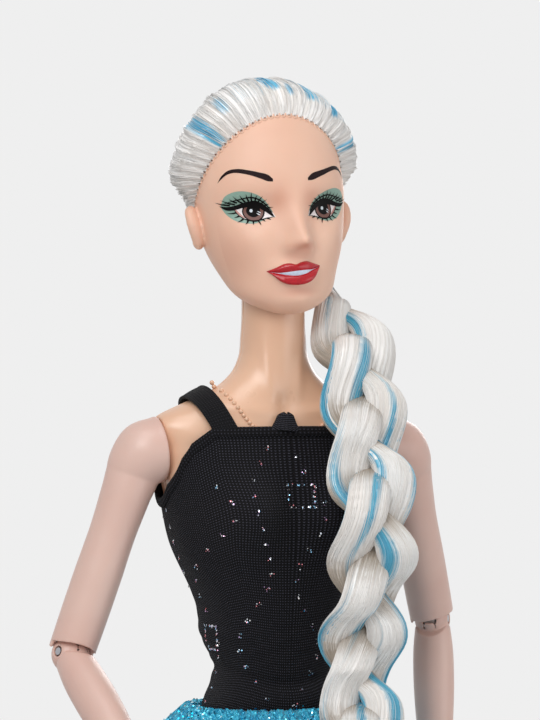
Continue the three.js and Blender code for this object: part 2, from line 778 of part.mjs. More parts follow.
function ear(side) {
  const shape = ball(1, limbPoints);
  shape.scale(earThicknessHalf, earDepthHalf, earHeightHalf);
  shape.rotateX(earRake);
  shape.rotateZ(earFlare);
  shape.translate(head.half * 0.985, head.back * 0.1, chinHeight + headRise * 0.37);
  return sided(side, leaned(shape));
}

function headShell() {
  const shape = join(headSolid(0, 1, headColumns, headRows), ear('left'), ear('right'));
  const floor = neckTop + clearance;
  const neckRoom = rod(neckRadius + 2 * clearance, chinHeight - headRise, floor, ringPoints);
  const stemRoom = rod(knobStemRadius + 2 * clearance, floor - overrun, floor + 2 * overrun);
  const knobRoom = rod(knobRadius + clearance, floor + headLip, neckTop + knobHeight + 2 * clearance, limbPoints);
  return cut(shape, neckRoom, stemRoom, knobRoom);
}

// Hair: a combed-back cap over the scalp that gathers behind the left ear into a three-strand plait
const hairlineDrop = 0.6;
const hairColumns = 20;
const hairRows = 13;
const hairGap = clearance * 1.6;
const gatherRadius = 4.6;

// The gather's course behind the left ear: sideways and backwards as shares of the head's half
// width, height over the chin as a share of the rise, and girth
const gatherShares = [
  [-0.1, 0.95, 0.42, 0.9],
  [0.45, 0.95, 0.24, 1.05],
  [0.92, 0.6, 0.09, 1.05],
  [1.02, 0.24, 0.02, 1],
  [0.96, 0.06, -0.03, 0.95],
];

function sweptBody(points, radii, steps, count, squashShare = 1) {
  const curve = new THREE.CatmullRomCurve3(points);
  const girth = reader(radii.map((radius, i) => [i / (radii.length - 1), radius]));
  const rings = [];
  for (let i = 0; i <= steps; i += 1) {
    const centre = curve.getPoint(i / steps);
    const along = curve.getTangent(i / steps);
    const sideways = new THREE.Vector3(0, -1, 0).cross(along).normalize();
    const upright = along.clone().cross(sideways);
    const [radius] = girth(i / steps);
    rings.push([...Array(count).keys()].map((k) => {
      const angle = (2 * Math.PI * k) / count;
      return centre.clone()
        .addScaledVector(sideways, radius * Math.cos(angle))
        .addScaledVector(upright, radius * squashShare * Math.sin(angle));
    }));
  }
  return loft(rings);
}

function hairCap() {
  const mass = headSolid(hairThickness, 0, hairColumns, hairRows);
  const scalp = headSolid(hairGap, 0, hairColumns, hairRows);
  const keep = box(-chestHalf, chestHalf, 0, 4 * chestHalf, -4 * chestHalf, 4 * chestHalf);
  keep.rotateX(Math.atan(hairlineDrop));
  keep.translate(0, -head.front * 0.86, crownHeight - hairThickness - head.up * 0.2);
  const nape = box(-chestHalf, chestHalf, -chestHalf, chestHalf, 0, chinHeight + headRise * 0.15);
  const earRoom = ['left', 'right'].map((side) => ear(side));
  const cap = cut(common(mass, leaned(keep)), scalp, nape, ...earRoom);
  cap.rotateZ(headTurn);
  const points = gatherShares.map(([x, y, high]) => new THREE.Vector3(
    x * head.half, y * head.half, chinHeight + headRise * high,
  ));
  const gather = sweptBody(points, gatherShares.map((row) => row[3] * gatherRadius), 9, limbPoints);
  const skull = headSolid(hairGap, 0, hairColumns, hairRows).rotateZ(headTurn);
  const under = box(-chestHalf, 2 * chestHalf, -chestHalf, chestHalf, 0, braidSpots()[0].z + 4 * clearance);
  const whole = cut(join(cap, cut(gather, skull, under)));
  return whole.rotateZ(-headTurn);
}

// The plait's course in front of the left shoulder: sideways as a share of the chest's half width,
// forwards as a share of the body's depth, height over the shoulder axis as a share of the rise
const braidShares = [
  [0.63, 0, 0.365],
  [0.66, 0.85, 0.24],
  [0.68, 1.42, 0.11],
  [0.65, 1.82, -0.015],
  [0.56, 2.4, -0.165],
  [0.505, 2.35, -0.32],
  [0.5, 2.06, -0.47],
  [0.45, 1.92, -0.645],
  [0.42, 2.5, -0.79],
  [0.41, 3.25, -0.9],
  [0.4, 3.75, -1.01],
];
const plaitTwist = THREE.MathUtils.degToRad(-16);
const strandHalf = 4.2;
const strandDepth = 3.3;
const plaitHalf = 4.1;
const plaitDepth = 2.2;
const plaitTurns = 2.35;
const strandSteps = 26;
const strandPoints = 6;
// How thick the plait is along its course
const plaitShares = [[0, 0.66], [0.1, 0.8], [0.24, 0.98], [0.5, 1.02], [0.75, 0.98], [0.94, 0.85], [1, 0.62]];

function braidSpots() {
  return braidShares.map(([x, ahead, high]) => new THREE.Vector3(
    x * chestHalf, -ahead * bodyDepth, shoulderHeight + high * torsoRise,
  ));
}

// Directions at a place of the plait: along it, across it and out of its front
function braidFrame(curve, place) {
  const along = curve.getTangentAt(place);
  const across = new THREE.Vector3(0, -1, 0).cross(along).normalize();
  across.applyAxisAngle(along, plaitTwist);
  return { centre: curve.getPointAt(place), across, out: along.clone().cross(across) };
}

function strand(curve, which) {
  const thick = reader(plaitShares);
  const rings = [];
  for (let i = 0; i <= strandSteps; i += 1) {
    const place = i / strandSteps;
    const { centre, across, out } = braidFrame(curve, place);
    const phase = 2 * Math.PI * (plaitTurns * place + which / 3);
    const [girth] = thick(place);
    const heart = centre.clone()
      .addScaledVector(across, plaitHalf * girth * Math.sin(phase))
      .addScaledVector(out, plaitDepth * girth * Math.sin(2 * phase));
    rings.push([...Array(strandPoints).keys()].map((k) => {
      const angle = (2 * Math.PI * k) / strandPoints;
      return heart.clone()
        .addScaledVector(across, strandHalf * girth * Math.cos(angle))
        .addScaledVector(out, strandDepth * girth * Math.sin(angle));
    }));
  }
  return loft(rings);
}

function plait() {
  const curve = new THREE.CatmullRomCurve3(braidSpots());
  return join(strand(curve, 0), strand(curve, 1), strand(curve, 2));
}

const tieLength = 2.6;
const tailLength = 15;
const tailSquashShare = 0.85;

function belowPlait(from, to, radii, steps) {
  const spots = braidSpots();
  const end = spots[spots.length - 1];
  const heading = end.clone().sub(spots[spots.length - 2]).normalize();
  const points = [0, 0.5, 1].map((share) => {
    const reach = from + (to - from) * share;
    const point = end.clone().addScaledVector(heading, reach);
    point.z -= (reach * reach) / (6 * tailLength);
    return point;
  });
  return sweptBody(points, radii, steps, limbPoints, tailSquashShare);
}

function hairTie() {
  const radius = strandHalf * 0.78;
  const from = clearance;
  return belowPlait(from, from + tieLength, [radius, radius * 1.06, radius], 4);
}

function braidTail() {
  const from = tieLength + 2 * clearance;
  const radius = strandHalf * 0.7;
  return belowPlait(from, from + tailLength, [radius, radius * 1.15, radius * 1.05, radius * 0.3], 6);
}

// Knitted top: a sleeve over the body, trimmed by its neckline, armholes and hem
const knitThickness = 0.9;
const strapThickness = 0.7;
const necklineRise = 3;
const neckline = shoulderHeight + necklineRise;
const necklineHalf = 14.8;
const hemHeight = shoulderHeight - torsoRise * 0.755;
const hemDip = 3.4;
const strapHalf = 2.3;
// Armhole from the strap to the side, as shares of the chest's half width and the armhole's depth
const armholeShares = [[0.84, 0.2], [0.93, 0.36], [1.02, 0.68], [1.1, 1]];
const armholeDepth = 14.5;

function seenFromAhead(outline) {
  const shape = new THREE.Shape(outline.map(([x, z]) => new THREE.Vector2(x, z)));
  const geometry = new THREE.ExtrudeGeometry(shape, { depth: 4 * chestHalf, bevelEnabled: false });
  geometry.rotateX(Math.PI / 2);
  return geometry.translate(0, 2 * chestHalf, 0);
}

function knitTop() {
  const from = hemHeight - hemDip - overrun;
  const to = neckline + overrun;
  const outer = bodySolid(from, to, clearance + knitThickness);
  const inner = bodySolid(from - overrun, to + overrun, clearance);
  const right = armholeShares.map(([x, down]) => [x * chestHalf, neckline - down * armholeDepth]);
  const side = chestHalf * 1.3;
  const half = [[necklineHalf, neckline], ...right, [side, neckline - armholeDepth], [side, hemHeight]];
  const hem = [0.9, 0.5, 0].map((share) => [
    share * chestHalf * 0.6, hemHeight - hemDip * Math.cos((share * Math.PI) / 2),
  ]);
  const outline = [...half, ...hem];
  const twin = outline.slice(0, -1).toReversed().map(([x, z]) => [-x, z]);
  const trimmed = common(cut(outer, inner), seenFromAhead([...outline, ...twin]));
  return cut(trimmed, ...['left', 'right'].map((name) => (
    shoulderRod(name, shoulderRadius + 2 * clearance, shoulderHalf - clearance, shoulderHalf + 4 * overrun)
  )));
}

function strap(side) {
  const foot = neckline + clearance;
  const top = shoulderHeight + neckRise * 0.6;
  const lean = (top - foot) * 0.5;
  const band = seenFromAhead([
    [necklineHalf - 2 * strapHalf, foot],
    [necklineHalf, foot],
    [necklineHalf + lean, top],
    [necklineHalf + lean - 2 * strapHalf, top],
  ]);
  const outer = bodySolid(neckline - overrun, top + overrun, clearance + strapThickness);
  const inner = bodySolid(neckline - 2 * overrun, top + 2 * overrun, clearance);
  outer.translate(0, 0, 2.5 * clearance + strapThickness * 0.8);
  inner.translate(0, 0, 2.5 * clearance);
  return sided(side, common(cut(outer, inner), band));
}

function topClosure() {
  const from = hemHeight + overrun;
  const to = neckline - clearance;
  const grown = 2 * clearance + knitThickness;
  const outer = bodySolid(from, to, grown + strapThickness);
  const inner = bodySolid(from - overrun, to + overrun, grown);
  return common(cut(outer, inner), box(-2 * strapHalf, 2 * strapHalf, 0, 2 * chestHalf, from, to));
}

// Skirt gathered on a waistband: it swells out under the top's hem and falls in folds
const waistbandHeight = 3;
const waistbandThickness = 0.7;
const skirtFlare = 22;
const skirtDrop = 24;
const skirtThickness = 0.8;
const skirtFolds = 14;
const foldDepth = 1.1;
const foldPoints = 4;
// Upper side of the cloth from the waistband to the hem: outwards as a share of the flare and
// down as a share of the drop
const skirtShares = [[0.08, 0.07], [0.12, -0.06], [0.25, 0], [0.52, 0.24], [0.78, 0.56], [0.96, 0.88], [1, 1]];

function skirtRing(base, out, down, thickness) {
  const folds = skirtFolds * 2 * Math.PI;
  const weight = Math.max(0, out / skirtFlare - 0.1);
  return base.map((p, i) => {
    const heading = p.clone().setZ(0).normalize();
    const wave = Math.cos((folds * i) / base.length) * foldDepth * weight;
    const point = p.clone().addScaledVector(heading, out + wave - thickness * 0.35);
    point.z = hemHeight - down - thickness * 0.9 + wave * 0.3;
    return point;
  });
}

function skirt() {
  const base = bodyRing(hemHeight, clearance, skirtFolds * foldPoints);
  const upper = skirtShares.map(([out, down]) => [out * skirtFlare, down * skirtDrop]);
  const rings = [
    ...upper.map(([out, down]) => skirtRing(base, out, down, 0)),
    ...upper.toReversed().map(([out, down]) => skirtRing(base, out, down, skirtThickness)),
  ];
  return sleeve(rings.toReversed());
}

function waistband() {
  const to = hemHeight - hemDip - clearance;
  const from = to - waistbandHeight;
  return cut(
    bodySolid(from, to, clearance + waistbandThickness),
    bodySolid(from - overrun, to + overrun, clearance),
  );
}

// Assembly: nested groups turn as the doll's joints do
function arm(parent, side) {
  const sign = side === 'left' ? 1 : -1;
  const shoulder = new THREE.Group();
  shoulder.position.set(sign * shoulderHalf, 0, shoulderHeight);
  shoulder.rotation.set(armSwing[side], sign * shoulderTilt, 0, 'YXZ');
  shoulder.name = `shoulder_${side}_axis`;
  parent.add(shoulder);
  add(shoulder, `upper_arm_${side}`, sided(side, upperArm()), armPlastic);
  add(shoulder, `shoulder_peg_${side}`, sided(side, shoulderPeg()), nylon);

  const twist = new THREE.Group();
  twist.position.set(sign * elbowSpot.x, elbowSpot.y, elbowSpot.z);
  twist.rotation.set(0, -sign * armLean, -sign * elbowTwist[side], 'YXZ');
  twist.name = `elbow_${side}_axis`;
  shoulder.add(twist);
  add(twist, `elbow_tongue_${side}`, connector(elbow), nylon);

  const bend = new THREE.Group();
  bend.rotation.x = -elbowBend[side];
  twist.add(bend);
  add(bend, `forearm_${side}`, forearm(), armPlastic);
  add(bend, `elbow_pin_${side}`, jointPin(elbow), steel);

  const wrist = new THREE.Group();
  wrist.position.z = -forearmLength - clearance;
  wrist.name = `wrist_${side}_axis`;
  bend.add(wrist);
  add(wrist, `hand_${side}`, sided(side, hand()), armPlastic);
}

function leg(parent, side) {
  const sign = side === 'left' ? 1 : -1;
  const hip = new THREE.Group();
  hip.position.z = hipHeight;
  parent.add(hip);
  add(hip, `thigh_${side}`, sided(side, thigh()), bodyPlastic);

  const kneeGroup = new THREE.Group();
  kneeGroup.position.set(sign * hipHalf, 0, -thighLength);
  kneeGroup.name = `knee_${side}_axis`;
  hip.add(kneeGroup);
  add(kneeGroup, `knee_tongue_${side}`, connector(knee).rotateZ(Math.PI), nylon);
  add(kneeGroup, `knee_pin_${side}`, jointPin(knee), steel);
  add(kneeGroup, `shin_${side}`, shin(), bodyPlastic);
  add(kneeGroup, `shoe_${side}`, shoe(), shoePlastic);
}

function doll() {
  const group = new THREE.Group();
  const halves = torsoHalves();
  add(group, 'torso_front', halves.front, bodyPlastic);
  add(group, 'torso_back', halves.back, bodyPlastic);
  add(group, 'neck_knob', neckKnob(), nylon);
  const axleReach = hipHalf + thighHeadRadius / 2 - clearance;
  add(group, 'hip_axle', moved(crossRod(axleRadius, -axleReach, axleReach), 0, 0, hipHeight), steel);
  add(group, 'knit_top', knitTop(), knit);
  add(group, 'strap_left', strap('left'), ribbon);
  add(group, 'strap_right', strap('right'), ribbon);
  add(group, 'top_closure', topClosure(), ribbon);
  add(group, 'skirt', skirt(), sequin);
  add(group, 'skirt_waistband', waistband(), sequin);
  add(group, 'hair_tie', hairTie(), blueHair);
  add(group, 'braid_tail', braidTail(), hair);

  const headGroup = new THREE.Group();
  headGroup.rotation.z = headTurn;
  group.add(headGroup);
  add(headGroup, 'head', headShell(), vinyl);
  add(headGroup, 'hair_cap', hairCap(), hair);
  add(headGroup, 'hair_braid', plait().rotateZ(-headTurn), hair);

  ['left', 'right'].forEach((side) => {
    arm(group, side);
    leg(group, side);
  });
  return group;
}

const model = doll();

// The origin is the middle of the footprint, on the floor
const bounds = new THREE.Box3().setFromObject(model, true);
const middle = bounds.getCenter(new THREE.Vector3());
model.position.set(-middle.x, -middle.y, -bounds.min.z);

export default model;
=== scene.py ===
# A jointed fashion doll with a white and blue side plait, a black knit top and a glitter skirt.
# Lengths are in millimetres, measured from the doll's own upright axis, and become metres in to_frame().
import json
import math
import bpy
import numpy as np
from mathutils import Matrix, Vector


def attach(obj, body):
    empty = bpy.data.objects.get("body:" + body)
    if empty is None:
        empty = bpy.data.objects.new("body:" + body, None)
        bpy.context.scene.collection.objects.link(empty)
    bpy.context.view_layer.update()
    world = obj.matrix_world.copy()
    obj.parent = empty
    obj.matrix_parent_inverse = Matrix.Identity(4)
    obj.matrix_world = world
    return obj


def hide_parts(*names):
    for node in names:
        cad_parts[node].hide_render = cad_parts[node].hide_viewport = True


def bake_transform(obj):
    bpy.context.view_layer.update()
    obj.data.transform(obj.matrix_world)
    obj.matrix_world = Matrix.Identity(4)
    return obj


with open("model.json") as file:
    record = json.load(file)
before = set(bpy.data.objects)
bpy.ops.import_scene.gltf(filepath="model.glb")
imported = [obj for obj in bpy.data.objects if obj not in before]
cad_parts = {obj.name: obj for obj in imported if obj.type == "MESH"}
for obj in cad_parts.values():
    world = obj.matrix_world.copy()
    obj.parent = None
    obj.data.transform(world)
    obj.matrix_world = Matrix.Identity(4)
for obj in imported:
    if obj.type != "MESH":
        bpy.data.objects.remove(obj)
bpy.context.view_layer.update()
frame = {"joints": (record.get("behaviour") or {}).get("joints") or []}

MM = 0.001
joints = {joint["name"]: joint for joint in frame["joints"]}
neck_spot = joints["neck_turn"]["pos_m"]
doll_axis = np.array([neck_spot[0], neck_spot[1], 0.0])
generator = np.random.default_rng(7)

# Heights and sizes that the pieces share
hip_height = 158.2
shoulder_height = 225.0
chin_height = 250.5
head_rise = 45.5
chest_half = 22.0
neck_radius = 6.3
neck_top = chin_height + 0.2 * head_rise
clearance = 0.3
head_turn = math.radians(2)
head_lean = math.radians(-3)


def to_frame(points):
    """Points in doll millimetres as metres in the part's frame."""
    return np.asarray(points, float) * MM + doll_axis


def vec(*values):
    return np.array(values, float)


def unit(vectors):
    vectors = np.asarray(vectors, float)
    return vectors / np.linalg.norm(vectors, axis=-1, keepdims=True)


def full_turn(count, extra=0):
    """Angles evenly round a turn, and extra ones after it."""
    return 2 * np.pi * np.arange(count + extra) / count


def bell(*shares):
    """1 where every share is 0, falling off smoothly round it."""
    return np.exp(-sum(share**2 for share in shares))


def reach_along(points):
    """The length of a line up to each of its points."""
    return np.concatenate([[0], np.cumsum(np.linalg.norm(np.diff(points, axis=0), axis=1))])


def turned_about(points, axis, angle, centre=(0, 0, 0)):
    turn = np.array(Matrix.Rotation(angle, 3, Vector(axis)))
    return (np.asarray(points, float) - centre) @ turn.T + centre


def read(table, places):
    """Smooth reading of a table: the first column is the place, the rest are read there."""
    rows = np.asarray(table, float)
    spots, values = rows[:, 0], rows[:, 1:]
    slopes = np.gradient(values, spots, axis=0)
    at = np.clip(np.atleast_1d(np.asarray(places, float)), spots[0], spots[-1])
    k = np.clip(np.searchsorted(spots, at, side="right") - 1, 0, len(spots) - 2)
    gap = (spots[k + 1] - spots[k])[:, None]
    t = (at[:, None] - spots[k][:, None]) / gap
    return ((2 * t**3 - 3 * t**2 + 1) * values[k] + (t**3 - 2 * t**2 + t) * gap * slopes[k]
            + (3 * t**2 - 2 * t**3) * values[k + 1] + (t**3 - t**2) * gap * slopes[k + 1])


def along_points(points, places):
    """Points at shares of a smooth line through the given ones."""
    rows = np.column_stack([np.linspace(0, 1, len(points)), np.asarray(points, float)])
    return read(rows, places)


# Making meshes: three steps for edit() come first
weld = (bpy.ops.mesh.remove_doubles, {"threshold": 1e-6})
face_outwards = (bpy.ops.mesh.normals_make_consistent, {"inside": False})
flip = (bpy.ops.mesh.flip_normals, {})


def deselect():
    bpy.ops.object.select_all(action="DESELECT")


def primitive(add, **settings):
    """The mesh that one of Blender's own steps adds."""
    deselect()
    add(**settings)
    return bpy.context.object


def linked(name, data):
    """A new object in the scene."""
    obj = bpy.data.objects.new(name, data)
    bpy.context.scene.collection.objects.link(obj)
    return obj


def mesh_of(name, points, faces):
    """A mesh object from points in doll millimetres and faces."""
    mesh = bpy.data.meshes.new(name)
    mesh.from_pydata(to_frame(points.reshape(-1, 3)).tolist(), [], faces)
    mesh.update()
    return linked(name, mesh)


def own_points(obj):
    return np.array([v.co for v in obj.data.vertices])


def doll_points(obj):
    """A mesh's points in doll millimetres."""
    return (own_points(obj) - doll_axis) / MM


def reshaped(obj, points):
    """Moves a mesh's points to places in doll millimetres."""
    obj.data.vertices.foreach_set("co", to_frame(points).astype(np.float32).ravel())
    obj.data.update()
    return obj


def pick(obj):
    deselect()
    obj.select_set(True)
    bpy.context.view_layer.objects.active = obj


def edit(obj, *steps):
    """Runs edit-mode steps on everything in the object."""
    pick(obj)
    bpy.ops.object.mode_set(mode="EDIT")
    bpy.ops.mesh.select_all(action="SELECT")
    for step, settings in steps:
        step(**settings)
    bpy.ops.object.mode_set(mode="OBJECT")


def sheet_of(name, across, along, place, joined=False, capped=False):
    """A grid bent to a shape: place(u, v) gives the points for shares across and along it."""
    v, u = np.meshgrid(np.linspace(0, 1, along + 1), np.linspace(0, 1, across + 1), indexing="ij")
    points = np.asarray(place(u.ravel(), v.ravel()), float).reshape(along + 1, across + 1, 3)
    if capped:
        first, last = (np.broadcast_to(row[:-1].mean(0), row.shape)[None]
                       for row in (points[0], points[-1]))
        points = np.concatenate([first, points, last])
    obj = primitive(bpy.ops.mesh.primitive_grid_add, x_subdivisions=across,
                    y_subdivisions=len(points) - 1, size=1)
    obj.name = obj.data.name = name
    reshaped(obj, points)
    if joined:
        edit(obj, weld, face_outwards)
    return obj


def ringed(name, rings):
    """A closed body through rings of points."""
    rings = np.asarray(rings, float)
    steps, count = rings.shape[:2]
    looped = np.concatenate([rings, rings[:, :1]], axis=1)
    return sheet_of(name, count, steps - 1, lambda u, v: looped.reshape(-1, 3), joined=True, capped=True)


def apply(obj, kind, **settings):
    modifier = obj.modifiers.new(kind, kind)
    for key, value in settings.items():
        setattr(modifier, key, value)
    pick(obj)
    bpy.ops.object.modifier_apply(modifier=modifier.name)


def combined(obj, operation, *others):
    for other in others:
        apply(obj, "BOOLEAN", operation=operation, solver="EXACT", object=other)
        bpy.data.objects.remove(other)


def minus(obj, *tools):
    combined(obj, "DIFFERENCE", *tools)


def plus(obj, *others):
    combined(obj, "UNION", *others)


def melted(name, pieces):
    """One mesh of several, with no cut between them."""
    first = pieces[0]
    if len(pieces) > 1:
        deselect()
        for piece in pieces:
            piece.select_set(True)
        bpy.context.view_layer.objects.active = first
        bpy.ops.object.join()
    first.name = name
    return first


def moulded(obj, grain=0.22, rounds=4):
    """Softens the edges as moulding does, on an even mesh."""
    apply(obj, "REMESH", mode="VOXEL", voxel_size=grain * MM)
    apply(obj, "SMOOTH", factor=0.5, iterations=rounds)
    smooth(obj)


def smooth(obj, angle=None):
    pick(obj)
    if angle is None:
        bpy.ops.object.shade_smooth()
    else:
        bpy.ops.object.shade_smooth_by_angle(angle=math.radians(angle))


def placed(obj, matrix):
    """Moves a mesh by a matrix in doll millimetres."""
    reshaped(obj, doll_points(obj) @ np.array(matrix.to_3x3()).T + np.array(matrix.translation))
    if matrix.to_3x3().determinant() < 0:
        edit(obj, flip)
    return obj


def worn(obj, material, body=None, replaces=()):
    """Gives a finished piece its material and the body that it rides on, and hides the CAD nodes that it
    stands for.
    """
    obj.data.materials.clear()
    obj.data.materials.append(material)
    if body:
        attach(obj, body)
    if replaces:
        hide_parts(*replaces)
    return obj


def point_values(obj, name, values):
    attribute = obj.data.attributes.get(name) or obj.data.attributes.new(name, "FLOAT", "POINT")
    attribute.data.foreach_set("value", np.asarray(values, np.float32))


def tubes(name, courses, radii, sides=3, tones=None):
    """Many thin tubes in one mesh: courses is (tube, step, xyz), radii is (tube, step)."""
    courses = np.asarray(courses, float)
    count, steps = courses.shape[:2]
    tangent = unit(np.gradient(courses, axis=1) + 1e-9)
    helper = np.broadcast_to(vec(0.31, -0.87, 0.39), tangent.shape)
    side = unit(np.cross(tangent, helper))
    up = np.cross(tangent, side)
    angles = full_turn(sides)
    ring = (side[:, :, None] * np.cos(angles)[None, None, :, None]
            + up[:, :, None] * np.sin(angles)[None, None, :, None])
    points = courses[:, :, None] + ring * np.asarray(radii, float)[:, :, None, None]
    index = np.arange(count * steps * sides).reshape(count, steps, sides)
    here, there = index[:, :-1], index[:, 1:]
    quads = np.stack([here, np.roll(here, -1, 2), np.roll(there, -1, 2), there], -1).reshape(-1, 4)
    ends = np.concatenate([index[:, 0, ::-1], index[:, -1]])
    obj = mesh_of(name, points, quads.tolist() + ends.tolist())
    along = np.broadcast_to(np.linspace(0, 1, steps)[None, :, None], (count, steps, sides)).ravel()
    across = np.broadcast_to((np.arange(count) / count)[:, None, None], (count, steps, sides)).ravel()
    loops = np.empty(len(obj.data.loops), np.int32)
    obj.data.loops.foreach_get("vertex_index", loops)
    layer = obj.data.uv_layers.new(name="UVMap")
    layer.data.foreach_set("uv", np.stack([across[loops], along[loops]], -1).astype(np.float32).ravel())
    if tones is not None:
        spread = np.broadcast_to(np.asarray(tones, float).reshape(count, -1, 1), (count, steps, sides))
        point_values(obj, "blue", spread.ravel())
    smooth(obj)
    return obj


# Materials
def shader(name, roughness=0.5, colour=(0.8, 0.8, 0.8), **sockets):
    material = bpy.data.materials.new(name)
    material.use_nodes = True
    surface = material.node_tree.nodes["Principled BSDF"]
    surface.inputs["Base Color"].default_value = (*linear(colour), 1)
    surface.inputs["Roughness"].default_value = roughness
    for socket, value in sockets.items():
        surface.inputs[socket.replace("_", " ")].default_value = value
    return material, surface


def linear(colour):
    """A colour as it looks on screen, from 0 to 255, as the light it stands for."""
    share = np.asarray(colour, float) / (255 if max(colour) > 1 else 1)
    return tuple(np.where(share <= 0.04045, share / 12.92, ((share + 0.055) / 1.055) ** 2.4))


def node(material, kind, inputs=(), **settings):
    made = material.node_tree.nodes.new("ShaderNode" + kind)
    for key, value in settings.items():
        setattr(made, key, value)
    for socket, value in dict(inputs).items():
        target = made.inputs[socket]
        if isinstance(value, bpy.types.NodeSocket):
            material.node_tree.links.new(value, target)
        else:
            target.default_value = value
    return made


def link(material, source, target):
    material.node_tree.links.new(source, target)


def maths(material, operation, *values):
    return node(material, "Math", dict(enumerate(values)), operation=operation).outputs[0]


def mixed(material, share, first, second):
    """A colour between two others."""
    made = node(material, "Mix", data_type="RGBA")
    for socket, value in zip((made.inputs[0], made.inputs[6], made.inputs[7]), (share, first, second)):
        if isinstance(value, bpy.types.NodeSocket):
            link(material, value, socket)
        else:
            socket.default_value = value if np.isscalar(value) else (*linear(value), 1)
    return made.outputs[2]


def ramp(material, value, low, high):
    """0 below one value and 1 above another."""
    return node(material, "MapRange", {0: value, 1: low, 2: high}, clamp=True).outputs[0]


def object_place(material):
    place = node(material, "TexCoord").outputs["Object"]
    return node(material, "Mapping", {"Vector": place, "Scale": (1, 1, 1)}).outputs[0]


def marked(material, name):
    """A value that the mesh carries at its points."""
    return node(material, "Attribute", attribute_name=name).outputs["Fac"]


def coloured(material, surface, share, first, second):
    """Gives a material's surface a colour between two others."""
    link(material, mixed(material, share, first, second), surface.inputs["Base Color"])


def noise(material, place, scale, detail=2.0, roughness=0.5):
    inputs = {"Vector": place, "Scale": scale, "Detail": detail, "Roughness": roughness}
    return node(material, "TexNoise", inputs).outputs["Fac"]


def bumped(material, surface, height, distance):
    bump = node(material, "Bump", {"Height": height, "Distance": distance * MM, "Strength": 1.0})
    link(material, bump.outputs[0], surface.inputs["Normal"])


def skin(name, colour, shade, roughness, coat=0.0, under=0.06):
    """Moulded plastic or vinyl: soft light under the surface, faint mottling, a fine satin grain."""
    # Warm tone where the mesh marks it: cheek blush, and painted shade on the face
    blush_and_shade_colour = (206, 128, 100)
    material, surface = shader(
        name, roughness, colour, Subsurface_Weight=under, Subsurface_Scale=1.5 * MM,
        Coat_Weight=coat, Coat_Roughness=0.28)
    surface.inputs["Subsurface Radius"].default_value = (1.0, 0.45, 0.3)
    place = object_place(material)
    cloud = ramp(material, noise(material, place, 55, 3), 0.35, 0.7)
    blush_and_shade = maths(material, "MULTIPLY", marked(material, "blush_and_shade"), 0.8)
    coloured(material, surface, blush_and_shade, mixed(material, cloud, colour, shade), blush_and_shade_colour)
    grain, drift = noise(material, place, 5200, 3, 0.6), noise(material, place, 300, 2)
    bumped(material, surface, maths(material, "MULTIPLY_ADD", drift, 3.0, grain), 0.012)
    rough = maths(material, "MULTIPLY_ADD", noise(material, place, 160, 3), 0.12, roughness - 0.06)
    link(material, rough, surface.inputs["Roughness"])
    return material


def plastic(name, colour, roughness=0.35, **sockets):
    material, surface = shader(name, roughness, colour, **sockets)
    place = object_place(material)
    tone = tuple(0.9 * np.asarray(colour, float))
    coloured(material, surface, ramp(material, noise(material, place, 240, 3), 0.4, 0.8), colour, tone)
    bumped(material, surface, noise(material, place, 4000, 2), 0.008)
    return material


def hair_material(name, light, shade, blue, deep, stretch=(600, 2, 1)):
    """Nylon fibres: fine lines along the hair, drifting shades, blue bands, and painted shade where a plait
    strand lies under the others.
    """
    # Painted shade for where a plait strand lies under the others
    under_shade_colour = (190, 176, 160)
    material, surface = shader(name, 0.24, light, Anisotropic=0.8, Specular_IOR_Level=0.9,
                               Sheen_Weight=0.1)
    place = node(material, "UVMap").outputs[0]
    place = node(material, "Mapping", {"Vector": place, "Scale": stretch}).outputs[0]
    fibres = noise(material, place, 1.0, 3, 0.7)
    slow = maths(material, "MULTIPLY", noise(material, object_place(material), 90, 2), 0.5)
    white = mixed(material, ramp(material, maths(material, "ADD", fibres, slow), 0.55, 0.95), light, shade)
    azure = mixed(material, ramp(material, fibres, 0.3, 0.75), blue, deep)
    uneven = maths(material, "SUBTRACT", fibres, 0.5)
    edge = maths(material, "MULTIPLY_ADD", uneven, 0.9, marked(material, "blue"))
    # The painted shade's mask, ragged along the fibres
    under_shade = maths(material, "MULTIPLY_ADD", uneven, 0.8, marked(material, "painted_under_shade"))
    white = mixed(material, ramp(material, under_shade, 0.45, 0.95), white, under_shade_colour)
    coloured(material, surface, ramp(material, edge, 0.3, 0.85), white, azure)
    tangent = node(material, "Tangent", direction_type="UV_MAP")
    link(material, tangent.outputs[0], surface.inputs["Tangent"])
    bumped(material, surface, fibres, 0.016)
    return material


def knit_material(name, colour, painted_highlight, rows=112, columns=220):
    """Fine jersey: rows of small slanted stitches, their raised tops given a painted highlight, so their gaps
    stay darker.
    """
    material, surface = shader(name, 0.85, colour, Sheen_Weight=0.04, Sheen_Roughness=0.5,
                               Specular_IOR_Level=0.18)
    split = node(material, "SeparateXYZ", {0: node(material, "UVMap").outputs[0]})
    across = maths(material, "MULTIPLY", split.outputs[0], columns)
    up = maths(material, "MULTIPLY", split.outputs[1], rows)
    leg = maths(material, "PINGPONG", across, 0.5)
    row = maths(material, "FRACT", maths(material, "MULTIPLY_ADD", leg, 0.5, up))
    loop = maths(material, "SINE", maths(material, "MULTIPLY", row, math.pi))
    rib = maths(material, "SINE", maths(material, "MULTIPLY", maths(material, "FRACT", across), math.pi))
    height = maths(material, "MULTIPLY", maths(material, "POWER", loop, 1.5), rib)
    fluff = noise(material, object_place(material), 3200, 3)
    height = maths(material, "MULTIPLY_ADD", fluff, 0.35, height)
    # Painted highlight on the raised stitches
    coloured(material, surface, ramp(material, height, 0.75, 1.25), colour, painted_highlight)
    bumped(material, surface, height, 0.16)
    return material


def glitter_material(name):
    """Foil flakes, each with its own tint."""
    material, surface = shader(name, 0.18, (200, 200, 205), Metallic=1.0)
    tint = node(material, "Attribute", attribute_name="tint").outputs["Color"]
    link(material, tint, surface.inputs["Base Color"])
    return material


